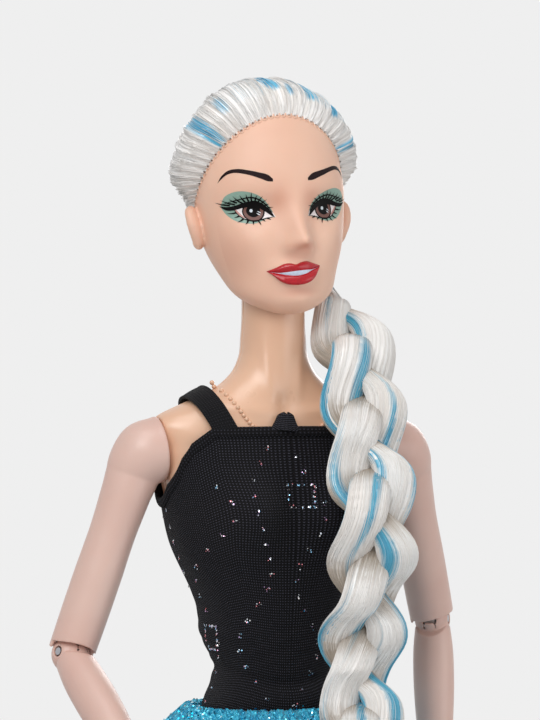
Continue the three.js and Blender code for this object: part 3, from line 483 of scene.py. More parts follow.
def sequin_cloth(name, colour, deep):
    """Cloth crowded with small foil scales, each catching the light its own way."""
    material, surface = shader(name, 0.35, colour, Metallic=0.15, Sheen_Weight=0.2)
    cells = node(material, "TexVoronoi", {"Vector": object_place(material), "Scale": 1500})
    split = node(material, "SeparateColor", {0: cells.outputs["Color"]})
    coloured(material, surface, split.outputs[0], colour, deep)
    height = maths(material, "MULTIPLY_ADD", split.outputs[1], 1.5, cells.outputs["Distance"])
    bumped(material, surface, height, 0.35)
    rough = maths(material, "MULTIPLY_ADD", split.outputs[2], 0.35, 0.15)
    link(material, rough, surface.inputs["Roughness"])
    return material


face_vinyl = skin("face_vinyl", (243, 200, 176), (238, 190, 165), 0.5, under=0.12)
body_plastic = skin("body_plastic", (236, 192, 161), (233, 187, 156), 0.3, coat=0.3)
arm_plastic = skin("arm_plastic", (228, 194, 181), (222, 183, 170), 0.4, coat=0.1)
pale_nylon = plastic("pale_nylon", (220, 209, 203), 0.35, Transmission_Weight=0.15)
pin_steel = plastic("pin_steel", (180, 180, 185), 0.3, Metallic=1.0)
hair = hair_material("hair_nylon", (255, 255, 255), (243, 237, 231), (112, 206, 236), (40, 164, 210))
strand_hair = hair_material("hair_strands", (255, 255, 254), (240, 233, 226), (104, 206, 232),
                            (0, 130, 176), (150, 1.5, 1))
yarn = (5, 4, 7)
black_knit = knit_material("black_knit", yarn, (78, 78, 90))
binding_knit = knit_material("binding_knit", yarn, (60, 60, 70), rows=230, columns=9)
peak_knit = knit_material("peak_knit", yarn, (70, 70, 80), rows=9, columns=14)
black_ribbon = knit_material("black_ribbon", (12, 12, 15), (44, 43, 49), rows=60, columns=9)
foil = glitter_material("foil_flakes")
sequins = sequin_cloth("sequin_cloth", (66, 200, 232), (14, 150, 192))
shoe_gloss = plastic("shoe_gloss", (42, 163, 199), 0.22, Coat_Weight=0.5)
elastic = plastic("hair_elastic", (70, 175, 214), 0.5)


# Plain tools for cuts and cores, in doll millimetres
def block(low, high):
    obj = primitive(bpy.ops.mesh.primitive_cube_add, size=1)
    return reshaped(obj, own_points(obj) * np.subtract(high, low) + np.add(low, high) / 2)


def rod(radius, start, end, axis="Z", points=64):
    """A cylinder on the axis of Z or X."""
    obj = primitive(bpy.ops.mesh.primitive_cylinder_add, vertices=points, radius=1, depth=1)
    local = own_points(obj) * (radius, radius, end - start) + (0, 0, (start + end) / 2)
    return reshaped(obj, local[:, [2, 0, 1]] if axis == "X" else local)


def ball(radius, centre=(0, 0, 0), points=64):
    obj = primitive(bpy.ops.mesh.primitive_uv_sphere_add, segments=points, ring_count=points // 2, radius=1)
    return reshaped(obj, own_points(obj) * radius + centre)


def slab(outline, start, end):
    """A flat shape in Y and Z, pushed out along X."""
    outline = np.asarray(outline, float)
    rings = [np.column_stack([np.full(len(outline), x), outline]) for x in (start, end)]
    return ringed("slab", rings)


def sector(inner, outer, start, end, half):
    """A fan-shaped block about X, with angles measured down from straight ahead."""
    angles = np.linspace(start, end, 24)
    arc = np.column_stack([-np.cos(angles), -np.sin(angles)])
    return slab(np.concatenate([arc * outer, arc[::-1] * inner]), -half, half)


def moved(obj, x, y, z):
    return placed(obj, Matrix.Translation((x, y, z)))


def spun(obj, axis, angle):
    return placed(obj, Matrix.Rotation(angle, 4, axis))


# The body: height, half width, depth in front and behind, and how square its section is
body_table = [
    (148.85, 4.4, 4.2, 5.0, 2.3),
    (152.86, 13.6, 8.5, 10.5, 2.3),
    (159.5, 18.7, 10.4, 12.8, 2.3),
    (166.2, 18.0, 10.6, 12.2, 2.3),
    (172.9, 13.4, 9.8, 9.4, 2.3),
    (182.2, 11.0, 8.8, 7.2, 2.3),
    (190.3, 12.3, 9.4, 7.2, 2.3),
    (198.3, 15.4, 10.6, 8.2, 2.3),
    (207.6, 19.8, 11.6, 9.0, 2.3),
    (215.6, 21.7, 11.0, 9.0, 2.3),
    (225.0, 23.5, 9.4, 8.6, 2.3),
    (231.1, 23.5, 8.0, 7.8, 2.1),
    (233.7, 17.95, 7.4, 7.3, 2.0),
    (236.2, 12.2, 7.05, 7.05, 2.0),
    (238.8, 8.8, 6.7, 6.9, 2.0),
    (242.3, 6.8, 6.4, 6.5, 2.0),
    (246.4, 6.3, 6.3, 6.3, 2.0),
    (263.0, 6.2, 6.2, 6.2, 2.0),
]
bust_height, bust_width, bust_spread, bust_rise, bust_centre = 6.4, 5.6, 9.0, 5.4, 212.84
body_bottom = 148.9


def bust(x, y, z, front):
    """How far the bust stands out before the plain section."""
    rise = bust_rise * bell((np.abs(x) - bust_spread) / bust_width, (z - bust_centre) / bust_height)
    return rise * np.minimum(1, -2 * y / front)


def body_point(angle, z, grown=0.0):
    """Points of the body's surface at angles about its axis, grown outwards for clothes."""
    half, front, back, power = read(body_table, z).T
    c, s = np.cos(angle), np.sin(angle)
    x = (half + grown) * np.sign(c) * np.abs(c) ** (2 / power)
    y = (np.where(s < 0, front, back) + grown) * np.sign(s) * np.abs(s) ** (2 / power)
    y = y - np.where(y < 0, bust(x, y, z, front), 0)
    return np.column_stack([x, y, np.broadcast_to(z, x.shape)])


def body_sheet(name, low, high, grown, across=180, along=120, **finish):
    def place(u, v):
        return body_point(2 * np.pi * u, low + (high - low) * v, grown)
    return sheet_of(name, across, along, place, joined=True, **finish)


def chest_detail(points):
    """Collarbones and the hollow between them, pressed softly into the chest."""
    x, y, z = points.T
    bone = 0.55 * bell((z - 231.6 - 0.11 * np.abs(x)) / 1.3, (np.abs(x) - 9) / 6.5)
    hollow = -0.8 * bell(x / 2.2, (z - 233.2) / 2.6)
    cords = 0.35 * bell((np.abs(x) - 2.7 - 0.14 * (z - 236)) / 1.1, (z - 240) / 6)
    return np.column_stack([x, y - np.where(y < 0, bone + hollow + cords, 0), z])


# Torso: two moulded halves with sockets for the arms and the legs
shoulder_half = 22.6
shoulder_tilt = math.radians(7.5)
thigh_head_radius = 10.8
axle_bore = 2.3
pelvis_web_half = 4.2
arm_room_radius, arm_room_depth = 15, 8
mirror_x = Matrix.Scale(-1, 4, (1, 0, 0))


def sided(obj, side):
    return obj if side == "left" else placed(obj, mirror_x)


def shoulder_rod(side, radius, start, end):
    tool = rod(radius, start - shoulder_half, end - shoulder_half, "X")
    tool = spun(tool, "Y", shoulder_tilt)
    return sided(moved(tool, shoulder_half, 0, shoulder_height), side)


def leg_room(side):
    outer = chest_half + 2
    drum = rod(thigh_head_radius + clearance, pelvis_web_half, outer, "X", 96)
    half = (outer - pelvis_web_half) / 2
    sweep = sector(thigh_head_radius / 2, 2 * thigh_head_radius, math.radians(-24), math.radians(166), half)
    moved(sweep, pelvis_web_half + half, 0, 0)
    return [sided(moved(tool, 0, 0, hip_height), side) for tool in (drum, sweep)]


bead_radius = 0.46
# The necklace from the side of the neck down to the top: sideways and height
necklace_course = [(12.4, 237.4), (11.3, 235.4), (10.1, 233.4), (8.8, 231.4), (7.4, 229.6), (5.8, 228.2)]


def section_share(x, half, power):
    """How much of its full depth the body has at a sideways place."""
    return np.clip(1 - np.abs(x / half) ** power, 0, 1) ** (1 / power)


def front_of_body(x, z, grown=0.0):
    """Points on the front of the body at sideways places and heights."""
    half, front, _, power = read(body_table, z).T
    y = -(front + grown) * section_share(x, half + grown, power)
    return np.column_stack([x, y - bust(x, y, z, front), z])


def back_of_body(x, z, grown):
    half, _, back, power = read(body_table, z).T
    return np.column_stack([x, (back + grown) * section_share(x, half + grown, power), z])


def necklace():
    """The moulded string of beads that runs from the neck down behind the top."""
    course = along_points(necklace_course, np.linspace(0, 1, 14))
    beads = [ball(bead_radius, spot + (0, 0.05, 0.08), points=20)
             for sign in (-1, 1) for spot in chest_detail(front_of_body(sign * course[:, 0], course[:, 1]))]
    string = melted("necklace_beads", beads)
    smooth(string)
    worn(string, body_plastic, "torso")


def torso():
    whole = body_sheet("torso", body_bottom, neck_top, 0, 160, 200, capped=True)
    reshaped(whole, chest_detail(doll_points(whole)))
    bore = moved(rod(axle_bore, -chest_half, chest_half, "X"), 0, 0, hip_height)
    minus(whole, bore, *leg_room("left"), *leg_room("right"),
          *(shoulder_rod(side, arm_room_radius, shoulder_half, shoulder_half + arm_room_depth)
            for side in ("left", "right")))
    for name, keep in (("torso_shell_front", -1), ("torso_shell_back", 1)):
        pick(whole)
        bpy.ops.object.duplicate()
        half = bpy.context.object
        half.name = name
        edit(half, (bpy.ops.mesh.bisect, {
            "plane_co": tuple(doll_axis), "plane_no": (0, 1, 0), "use_fill": True,
            "clear_inner": keep > 0, "clear_outer": keep < 0}))
        moulded(half, 0.3, 2)
        worn(half, body_plastic, "torso", ["torso_front" if keep < 0 else "torso_back"])
    bpy.data.objects.remove(whole)


torso()
necklace()


# Camera, light and floor: the doll's axis stands at axis_offset_px right of the middle of the frame
photo_height = 720
pixels_per_mm = 5.2
camera_angle = math.radians(20)
camera_reach = 600.0
camera_height = 241.8
axis_offset_px = 3.0
sensor_height = 36
lamp_aim = (0, 0, 235)
# Name, place, width and power
lamps = [
    ("key_lamp", (-430, -520, 660), 380, 2.55),
    ("fill_lamp", (460, -540, 230), 520, 1.2),
    ("top_lamp", (-160, -260, 840), 360, 1.2),
    ("rim_lamp", (330, 480, 420), 300, 0.9),
]


def camera():
    data = bpy.data.cameras.new("camera")
    data.sensor_fit = "VERTICAL"
    data.sensor_height = sensor_height
    data.lens = sensor_height * pixels_per_mm * camera_reach / photo_height
    obj = linked("camera", data)
    aside = vec(math.cos(camera_angle), -math.sin(camera_angle), 0)
    back = vec(-math.sin(camera_angle), -math.cos(camera_angle), 0)
    spot = back * camera_reach - aside * axis_offset_px / pixels_per_mm + (0, 0, camera_height)
    obj.location = Vector(to_frame(spot))
    obj.rotation_euler = (math.pi / 2, 0, -camera_angle)
    bpy.context.scene.camera = obj


def lamp(name, spot, size, power):
    data = bpy.data.lights.new(name, "AREA")
    data.size = size * MM
    data.energy = power
    obj = linked(name, data)
    obj.location = Vector(to_frame(spot))
    heading = Vector(to_frame(lamp_aim)) - obj.location
    obj.rotation_euler = heading.to_track_quat("-Z", "Y").to_euler()


def studio():
    """Even light from all sides, before a pale wall for the camera and what mirrors or lets through."""
    world = bpy.data.worlds.new("studio")
    bpy.context.scene.world = world
    world.use_nodes = True
    light = world.node_tree.nodes["Background"]
    light.inputs["Color"].default_value = (1, 1, 1, 1)
    light.inputs["Strength"].default_value = 0.29
    backdrop = node(world, "Background", {"Color": (*linear((239, 239, 239)), 1)})
    rays = node(world, "LightPath").outputs
    seen = rays["Is Camera Ray"]
    for ray in ("Is Glossy Ray", "Is Transmission Ray"):
        seen = node(world, "Math", {0: seen, 1: rays[ray]}, use_clamp=True).outputs[0]
    mix = node(world, "MixShader", {0: seen, 1: light.outputs[0], 2: backdrop.outputs[0]})
    link(world, mix.outputs[0], world.node_tree.nodes["World Output"].inputs["Surface"])


def floor():
    obj = primitive(bpy.ops.mesh.primitive_grid_add, x_subdivisions=8, y_subdivisions=8, size=1.2)
    obj.name = "floor"
    obj.location = (0, 0, -0.2 * MM)
    material, surface = shader("pale_floor", 0.7, (236, 236, 236))
    cloud = noise(material, object_place(material), 30, 2)
    coloured(material, surface, cloud, (238, 238, 238), (234, 234, 234))
    obj.data.materials.append(material)


camera()
studio()
for row in lamps:
    lamp(*row)
floor()
bpy.context.scene.view_settings.view_transform = "Standard"


# Head: an egg with the jaw set forward, and soft pushes for the features
head_middle = chin_height + head_rise / 2
head_half, head_front, head_back = 14.5, 13.3, 15.4
hair_thickness = 3.0
head_up = head_rise / 2 - hair_thickness
head_down = head_rise / 2
jaw_forward, jaw_power = 8.2, 2.6
# Sideways place, height over the chin, spread across, above and below, and push forward
features = [
    (0, 14.3, 2.25, 5.4, 2.5, 3.1),
    (0, 13.0, 2.45, 1.9, 1.85, 1.9),
    (2.0, 12.2, 1.0, 1.3, 0.95, 0.75),
    (7.4, 20.0, 4.2, 2.7, 3.3, -1.9),
    (0, 7.7, 4.4, 2.4, 2.3, 1.7),
    (0, 2.3, 3.8, 2.0, 3.0, 1.2),
    (8.8, 13.65, 4.0, 4.6, 4.6, 1.0),
]


def feature_push(x, z):
    total = np.zeros(np.broadcast(x, z).shape)
    for place, high, across, above, below, push in features:
        rise = z - chin_height - high
        along = rise / np.where(rise > 0, above, below)
        total = total + push * bell((np.abs(x) - place) / across, along)
    return total


def jaw_share(z):
    """How much fuller the head is at the jaw than a plain egg."""
    return 1 + 0.15 * bell((z - chin_height - 2.6) / 3.6)


def set_head(points):
    """From the upright head to where it sits: a small lean and a turn to its left."""
    leaned = turned_about(points, (0, 1, 0), head_lean, (0, 0, neck_top))
    return turned_about(leaned, (0, 0, 1), head_turn)


def head_point(turn, fall, grown=0.0, face=1.0):
    reach, ahead, lift = np.sin(fall), np.cos(turn), np.cos(fall)
    z = head_middle + lift * (np.where(lift > 0, head_up, head_down) + grown)
    depth = np.where(ahead > 0, head_front, head_back) + grown
    x = (head_half + grown) * reach * np.sin(turn) * jaw_share(z)
    y = -depth * reach * ahead - jaw_forward * np.maximum(0, -lift) ** jaw_power
    share = np.minimum(1, 2 * np.maximum(0, ahead) * reach * face)
    return np.column_stack([x, y - feature_push(x, z) * share, z])


def on_face(x, z, lift=0.0):
    """Points on the front of the head at sideways places and heights, lifted off its surface."""
    x, z = np.atleast_1d(x).astype(float), np.atleast_1d(z).astype(float)

    def surface(x, z):
        rise = z - head_middle
        level = np.clip(rise / np.where(rise > 0, head_up, head_down), -0.999, 0.999)
        reach = np.sqrt(1 - level**2)
        ahead = np.sqrt(np.clip(1 - (x / (head_half * reach * jaw_share(z))) ** 2, 0.0004, 1))
        share = np.minimum(1, 2 * ahead * reach)
        return (-head_front * reach * ahead - jaw_forward * np.maximum(0, -level) ** jaw_power
                - feature_push(x, z) * share)
    y, step = surface(x, z), 0.05
    out = unit(np.column_stack([
        (surface(x + step, z) - surface(x - step, z)) / (2 * step), np.full(x.shape, -1.0),
        (surface(x, z + step) - surface(x, z - step)) / (2 * step)]))
    lift = np.broadcast_to(np.asarray(lift, float), x.shape)[:, None]
    return set_head(np.column_stack([x, y, z]) + out * lift)


# Limbs: ball joints with a cup above, a tongue inside and a slotted knuckle below
def joint_spot(name):
    return (np.array(joints[name]["pos_m"]) - doll_axis) / MM


def joint_axis(name):
    return unit(joints[name]["axis"])


def seat(origin, x_axis, z_axis):
    """The place of a limb's own frame as a matrix."""
    x_axis = unit(x_axis)
    z_axis = unit(np.asarray(z_axis) - np.dot(z_axis, x_axis) * x_axis)
    matrix = Matrix.Identity(4)
    for k, column in enumerate((x_axis, np.cross(z_axis, x_axis), z_axis, origin)):
        for row in range(3):
            matrix[row][k] = column[row]
    return matrix


def joint_sizes(radius):
    cup = 0.89 * radius
    knuckle = cup - clearance
    return {"radius": radius, "cup": cup, "knuckle": knuckle, "tongue_half": 0.24 * radius,
            "tongue": 0.84 * knuckle, "stem": 0.4 * radius, "stem_top": knuckle + 1.7 * radius,
            "pin": 0.17 * radius, "rim": 0.07 * radius, "notch": 0.52 * radius}


elbow, knee = joint_sizes(4.4), joint_sizes(5.6)
upper_arm_offset, upper_arm_length, forearm_length = 4.2, 40.5, 40.0
shoulder_radius, wrist_radius, hand_length = 6.25, 2.5, 19.0
arm_lean = math.radians(18.4) + shoulder_tilt
# How far the slots in the knuckles let a limb bend
slot_bend = math.radians(72)
thigh_length, shin_length, sole_thickness, hip_half = 77.0, 79.0, 2.2, 9.8
upper_arm_table = [(0.2, 1.09), (0.38, 1.01), (0.62, 1.03), (0.86, 1.02), (1, 1)]
# Place along the limb, half width, front, back and lean forward, in shares of the joint's radius
forearm_table = [(0.04, 0.8, 0.78, 0.8, 0), (0.14, 0.9, 0.84, 0.92, 0.01), (0.3, 0.93, 0.9, 0.96, 0.02),
                 (0.55, 0.82, 0.82, 0.84, 0.03), (0.85, 0.62, 0.62, 0.62, 0.02), (1, 0.57, 0.56, 0.56, 0)]
palm_table = [(0.01, 0.72, 0.9, 0.9, 0), (0.14, 0.7, 1.02, 1.02, 0), (0.3, 0.68, 1.45, 1.3, 0.1),
              (0.46, 0.6, 1.5, 1.4, 0.05), (0.54, 0.46, 1.38, 1.34, 0)]
thigh_table = [(0.02, 1.5, 1.5, 1.62, 0), (0.16, 1.54, 1.52, 1.66, 0), (0.4, 1.34, 1.42, 1.4, 0.06),
               (0.7, 1.12, 1.2, 1.16, 0.06), (0.9, 1.02, 1.04, 1.03, 0.02), (1, 1, 1, 1, 0)]
shin_table = [(0.03, 0.8, 0.8, 0.78, 0), (0.1, 0.88, 0.86, 0.86, 0.02), (0.3, 0.92, 0.86, 1.04, 0),
              (0.55, 0.74, 0.76, 0.84, 0.02), (0.84, 0.56, 0.62, 0.66, 0.02), (0.97, 0.6, 0.74, 0.8, 0)]


def limb(name, table, length, radius, steps=60, points=72):
    places = np.linspace(table[-1][0], table[0][0], steps)
    half, front, back, lean = (read(table, places) * radius).T[:, :, None]
    angles = full_turn(points)
    c, s = np.cos(angles)[None], np.sin(angles)[None]
    y = np.where(s < 0, front, back) * s - lean
    z = np.broadcast_to(-places[:, None] * length, y.shape)
    return ringed(name, np.stack([half * c, y, z], -1))


def cup_tools(sizes):
    """What is cut from a limb's end for the next limb's knuckle, the tongue's stem and the arch over it."""
    radius = sizes["radius"]
    arch = rod(sizes["notch"], 0, 2 * radius, "Z", 48)
    arch = placed(spun(arch, "X", math.pi / 2), Matrix.Scale(1.15 * radius / sizes["notch"], 4, (1, 0, 0)))
    return [block((-2 * radius, -2 * radius, -3 * radius), (2 * radius, 2 * radius, sizes["rim"])),
            ball(sizes["cup"]), rod(sizes["stem"] + clearance, 0, sizes["stem_top"]),
            moved(arch, 0, 0, sizes["rim"])]


def knuckle_tools(sizes, bend):
    """What is cut from a knuckle for the tongue, its pin and the cup's rim when the limb bends."""
    radius, half = sizes["radius"], sizes["tongue_half"] + clearance
    end = bend - math.asin(sizes["notch"] / radius) + clearance / sizes["knuckle"]
    relief = sector(sizes["knuckle"] / 2, 2 * radius, -clearance / sizes["knuckle"], end, 2 * radius)
    minus(relief, ball(0.99 * sizes["knuckle"]))
    return [rod(sizes["tongue"] + clearance, -half, half, "X"),
            block((-half, -2 * radius, -sizes["stem"] / 2), (half, 0, 2 * radius)),
            block((-half, -radius, 0), (half, sizes["stem"] + clearance, 2 * radius)),
            rod(sizes["pin"] + clearance, -2 * radius, 2 * radius, "X"), relief]


def upper_arm(side):
    """A round shoulder that turns down into a straight arm with a cup at its end."""
    whole_turn = math.pi / 2 - arm_lean
    armpit = vec(0.36 * upper_arm_offset, 0, -1.04 * shoulder_radius)
    axis = vec(math.sin(arm_lean), 0, -math.cos(arm_lean))

    def ring(centre, turn, across, depth):
        angles = full_turn(80)
        up = vec(math.sin(turn), 0, math.cos(turn))
        return (centre + np.outer(np.sin(angles) * across, up)
                + np.outer(np.cos(angles) * depth, vec(0, 1, 0)))
    bend_table = [(0, 1, 1), (0.33, 0.985, 0.97), (0.66, 0.9, 0.88), (1, 0.83, 0.77)]
    shoulder_end = vec(upper_arm_offset, 0, 0)
    rings = [ring(vec(clearance, 0, 0), 0, 0.965 * shoulder_radius, 0.965 * shoulder_radius),
             ring(vec(clearance + 0.25, 0, 0), 0, shoulder_radius, shoulder_radius)]
    for share in np.linspace(0, 1, 16):
        across, depth = read(bend_table, share)[0] * shoulder_radius
        turn = whole_turn * share
        rings.append(ring(armpit + across * vec(math.sin(turn), 0, math.cos(turn)), turn, across, depth))
    for place in np.linspace(0.2, 1, 36):
        girth = read(upper_arm_table, place)[0, 0] * elbow["radius"]
        rings.append(ring(shoulder_end + axis * upper_arm_length * place, whole_turn, girth, girth))
    obj = ringed(f"upper_arm_shell_{side}", rings)
    spot = shoulder_end + axis * upper_arm_length
    minus(obj, rod(2.4, 0, 5.3, "X"),
          *(moved(spun(tool, "Y", -arm_lean), *spot) for tool in cup_tools(elbow)))
    moulded(obj, 0.2)
    start, end = joint_spot(f"shoulder_{side}"), joint_spot(f"elbow_swivel_{side}")
    sign = 1 if side == "left" else -1
    outward = joint_axis(f"shoulder_{side}")
    reach = upper_arm_offset + math.sin(arm_lean) * upper_arm_length
    upright = sign * outward * reach - (end - start)
    placed(sided(obj, side), seat(start, outward, upright))
    worn(obj, arm_plastic, f"upper_arm_{side}", [f"upper_arm_{side}"])


def along_forearm(name, side):
    """The seat at a joint with the forearm's own directions."""
    return seat(joint_spot(name), joint_axis(f"elbow_bend_{side}"), joint_axis(f"wrist_{side}"))


def forearm(side):
    obj = limb(f"forearm_shell_{side}", forearm_table, forearm_length, elbow["radius"])
    plus(obj, ball(elbow["knuckle"]))
    minus(obj, *knuckle_tools(elbow, slot_bend), rod(1.4, -forearm_length - 2, 4.5 - forearm_length))
    moulded(obj, 0.18, 3)
    placed(obj, along_forearm(f"elbow_bend_{side}", side))
    worn(obj, arm_plastic, f"forearm_{side}", [f"forearm_{side}"])


def finger(start, end, radius, bow=0.0):
    """A finger with two soft knuckles, bowed a little towards the palm."""
    table = [(0, 1.05), (0.2, 0.98), (0.42, 1.0), (0.55, 0.9), (0.74, 0.92), (0.88, 0.78), (0.96, 0.5),
             (1, 0.2)]
    start, end = np.asarray(start, float), np.asarray(end, float)
    places = np.linspace(0, 1, 22)
    axis = unit(end - start)
    side = unit(np.cross(axis, vec(0, 1, 0)))
    up = np.cross(axis, side)
    angles = full_turn(20)
    ring = np.outer(np.cos(angles), side) + np.outer(np.sin(angles), up)
    centres = start + np.outer(places, end - start) + np.outer(np.sin(np.pi * places) * bow, side)
    girth = read(table, places)[:, 0] * radius
    return ringed("finger", centres[:, None] + ring[None] * girth[:, None, None])


def hand(side):
    obj = limb(f"hand_shell_{side}", palm_table, hand_length, wrist_radius, 30, 56)
    plug = rod(1.1, -0.05 * hand_length, 4.2, "Z", 32)
    # Place across the palm, length and curl
    fingers = [finger((0, -across * wrist_radius, -0.46 * hand_length),
                      (-curl * hand_length, -1.12 * across * wrist_radius, -hand_length * (0.5 + length)),
                      0.36 * wrist_radius, 0.45)
               for across, length, curl in ((1.06, 0.46, 0.05), (0.4, 0.5, 0.08), (-0.28, 0.47, 0.12),
                                            (-0.92, 0.39, 0.16))]
    thumb = finger((-0.1 * wrist_radius, -0.69 * wrist_radius, -0.24 * hand_length),
                   (-0.28 * wrist_radius, -2.1 * wrist_radius, -0.52 * hand_length),
                   0.4 * wrist_radius, 0.3)
    plus(obj, plug, *fingers, thumb)
    moulded(obj, 0.15, 4)
    placed(sided(obj, side), along_forearm(f"wrist_{side}", side))
    worn(obj, arm_plastic, f"hand_{side}", [f"hand_{side}"])


def thigh(side):
    """A thigh with a round head inside the hips' outline. Its cup only cuts cleanly in reverse order."""
    obj = limb(f"thigh_shell_{side}", thigh_table, thigh_length, knee["radius"])
    moved(obj, hip_half, 0, 0)
    whole = chest_half + 2
    outer = rod(2 * thigh_head_radius, -chest_half, 2 * chest_half, "X", 96)
    low = -0.6 * thigh_head_radius
    minus(outer, rod(thigh_head_radius, -2 * chest_half, 3 * chest_half, "X", 96),
          block((-chest_half, -2 * chest_half, -chest_half), (2 * chest_half, 2 * chest_half, low)))
    minus(obj, outer)
    head = rod(thigh_head_radius, pelvis_web_half + clearance, whole, "X", 96)
    hips = moved(body_sheet("hips", body_bottom, 179, 0, 120, 60, capped=True), 0, 0, -hip_height)
    combined(head, "INTERSECT", hips)
    plus(obj, head)
    minus(obj, rod(thigh_head_radius + 2 * clearance, -chest_half, pelvis_web_half + clearance, "X", 96),
          block((-chest_half, -chest_half, -thigh_length), (clearance / 2, chest_half, chest_half)),
          rod(axle_bore, 0, hip_half + thigh_head_radius / 2, "X"),
          *(moved(spun(tool, "Z", math.pi), hip_half, 0, -thigh_length)
            for tool in reversed(cup_tools(knee))))
    moulded(obj, 0.3, 3)
    placed(sided(obj, side), Matrix.Translation((0, 0, hip_height)))
    worn(obj, body_plastic, f"thigh_{side}", [f"thigh_{side}"])


foot_length, heel_behind, shoe_wall, foot_squareness = 27.0, 7.0, 1.0, 2.6
# Place along the foot, and half width and height in shares of its length
foot_table = [(0, 0.09, 0.13), (0.06, 0.125, 0.26), (0.24, 0.13, 0.36), (0.44, 0.125, 0.31),
              (0.66, 0.16, 0.2), (0.86, 0.135, 0.13), (0.97, 0.085, 0.09), (1, 0.05, 0.06)]


def foot_body(name, grown, bottom, steps=40, points=64):
    places = (1 - np.cos(np.pi * np.linspace(0, 1, steps))) / 2
    half, height = (read(foot_table, places) * foot_length).T
    angles = full_turn(points)
    across, upward = (np.sign(part) * np.abs(part) ** (2 / foot_squareness)
                      for part in (np.cos(angles), np.sin(angles)))
    x = (half[:, None] + grown) * across
    z = bottom + height[:, None] / 2 + (height[:, None] / 2 + grown) * upward
    y = np.broadcast_to((heel_behind + grown - places * (foot_length + 2 * grown))[:, None], x.shape)
    return ringed(name, np.stack([x, y, z], -1))


def shin(side):
    obj = limb(f"shin_shell_{side}", shin_table, shin_length, knee["radius"])
    plus(obj, foot_body("foot", 0, -shin_length + clearance), ball(knee["knuckle"]))
    minus(obj, *(spun(tool, "Z", math.pi) for tool in knuckle_tools(knee, slot_bend)))
    moulded(obj, 0.3, 3)
    placed(obj, Matrix.Translation(joint_spot(f"knee_{side}")))
    worn(obj, body_plastic, f"shin_{side}", [f"shin_{side}"])


def shoe(side):
    """A slip-on shoe with a flat sole, a rounded throat and a rim round its opening."""
    grown, ground = clearance + shoe_wall, -shin_length - sole_thickness
    obj = foot_body(f"shoe_shell_{side}", grown, -shin_length + clearance)
    plane = foot_length * 0.24 - shin_length
    throat_end = heel_behind - 0.58 * foot_length
    instep = rod(0.115 * foot_length, 0, foot_length, "Z", 64)
    moved(instep, 0, throat_end, -shin_length + 0.12 * foot_length)
    minus(obj, block((-40, -60, ground - 20), (40, 40, ground)),
          block((-40, throat_end, plane), (40, 40, 5)))
    places = np.linspace(0, 1, 40)
    half = read(foot_table, places)[:, 0] * foot_length + grown
    y = heel_behind + grown - places * (foot_length + 2 * grown)
    edge = np.column_stack([np.concatenate([half, -half[::-1]]), np.concatenate([y, y[::-1]])])
    levels = (ground, ground + 0.25, ground + sole_thickness - 0.1, ground + sole_thickness + 0.15)
    inset = (0.25, 0.0, 0.0, 0.2)
    rings = []
    for level, draw in zip(levels, inset):
        shrink = 1 - draw / np.maximum(1, np.abs(edge[:, :1]))
        rings.append(np.column_stack([edge * shrink, np.full(len(edge), level)]))
    plus(obj, ringed("sole", rings))
    minus(obj, foot_body("inside", clearance, -shin_length + clearance), instep)
    moulded(obj, 0.24, 3)
    placed(obj, Matrix.Translation(joint_spot(f"knee_{side}")))
    worn(obj, shoe_gloss, f"shin_{side}", [f"shoe_{side}"])


for side in ("left", "right"):
    for make in (upper_arm, forearm, hand, thigh, shin, shoe):
        make(side)


def thickened(obj, thickness, offset, angle):
    """Gives a sheet its thickness, with its edges sharp beyond an angle."""
    apply(obj, "SOLIDIFY", thickness=thickness * MM, offset=offset)
    smooth(obj, angle)
    return obj


def swollen(points, push):
    """Moves points outwards from the upright axis."""
    points[:, :2] += unit(points[:, :2]) * push[:, None]
    return points


hem_height, hem_dip = 174.566, 3.4
neckline, neckline_lift = 228.0, 1.15
# Sideways place and height down the edge of the armhole
armhole = ((14.6, 227.9), (18.7, 225.2), (20.4, 222.9), (22.4, 218.3), (22.75, 214.9))


def top_edge(angle, grown):
    """The cloth's upper edge at angles round the body: neckline, then down round the armholes."""
    z = np.full(angle.shape, neckline)
    sideways, heights = np.array(armhole).T
    for _ in range(30):
        x = np.abs(body_point(angle, z, grown)[:, 0])
        z = 0.5 * z + 0.5 * np.interp(x, [0, *sideways], [neckline, *heights])
    return z + neckline_lift * np.clip(1 - (neckline - z) / 7, 0, 1)


def hem_edge(angle, grown):
    x = np.abs(body_point(angle, np.full(angle.shape, 173.0), grown)[:, 0])
    return hem_height - hem_dip * np.cos(np.minimum(1, x / 13.2) * np.pi / 2)


def knit_push(angle, z):
    """Pulled creases at the waist, slack above them and a soft swell below, as snug jersey shows."""
    around = np.minimum(np.abs(angle - np.pi), np.abs(angle)) / np.pi
    crease = -0.55 * bell((z - 182.0 - 1.6 * np.cos(2 * angle)) / 1.2)
    swell = 0.75 * bell((z - 177.0) / 2.6)
    pull = 0.1 * np.sin(z * 1.9 + 6 * np.sin(angle * 2)) * bell((z - 188) / 6) * (1 - around)
    drape = 0.12 * np.sin(angle * 9 + z * 0.22) * bell((z - 205) / 14)
    slack = (1.1 - 0.3 * np.cos(angle)) * np.abs(np.cos(angle)) ** 1.5 * bell((z - 189.8) / 4.0)
    return crease + swell + pull + drape + slack


def knit_top():
    grown, count = 0.95, 400
    angles = full_turn(count, 1)
    high, low = top_edge(angles, grown), hem_edge(angles, grown)

    def place(u, v):
        k = np.round(u * count).astype(int)
        z = low[k] + (high[k] - low[k]) * v
        hem_band = 0.14 * (z < low[k] + 2.2)
        return swollen(body_point(angles[k], z, grown), knit_push(angles[k], z) + hem_band)
    obj = sheet_of("knit_top_cloth", count, 200, place)
    edit(obj, weld)
    smooth(obj)
    worn(obj, black_knit, "torso", ["knit_top"])
    return angles, high, low


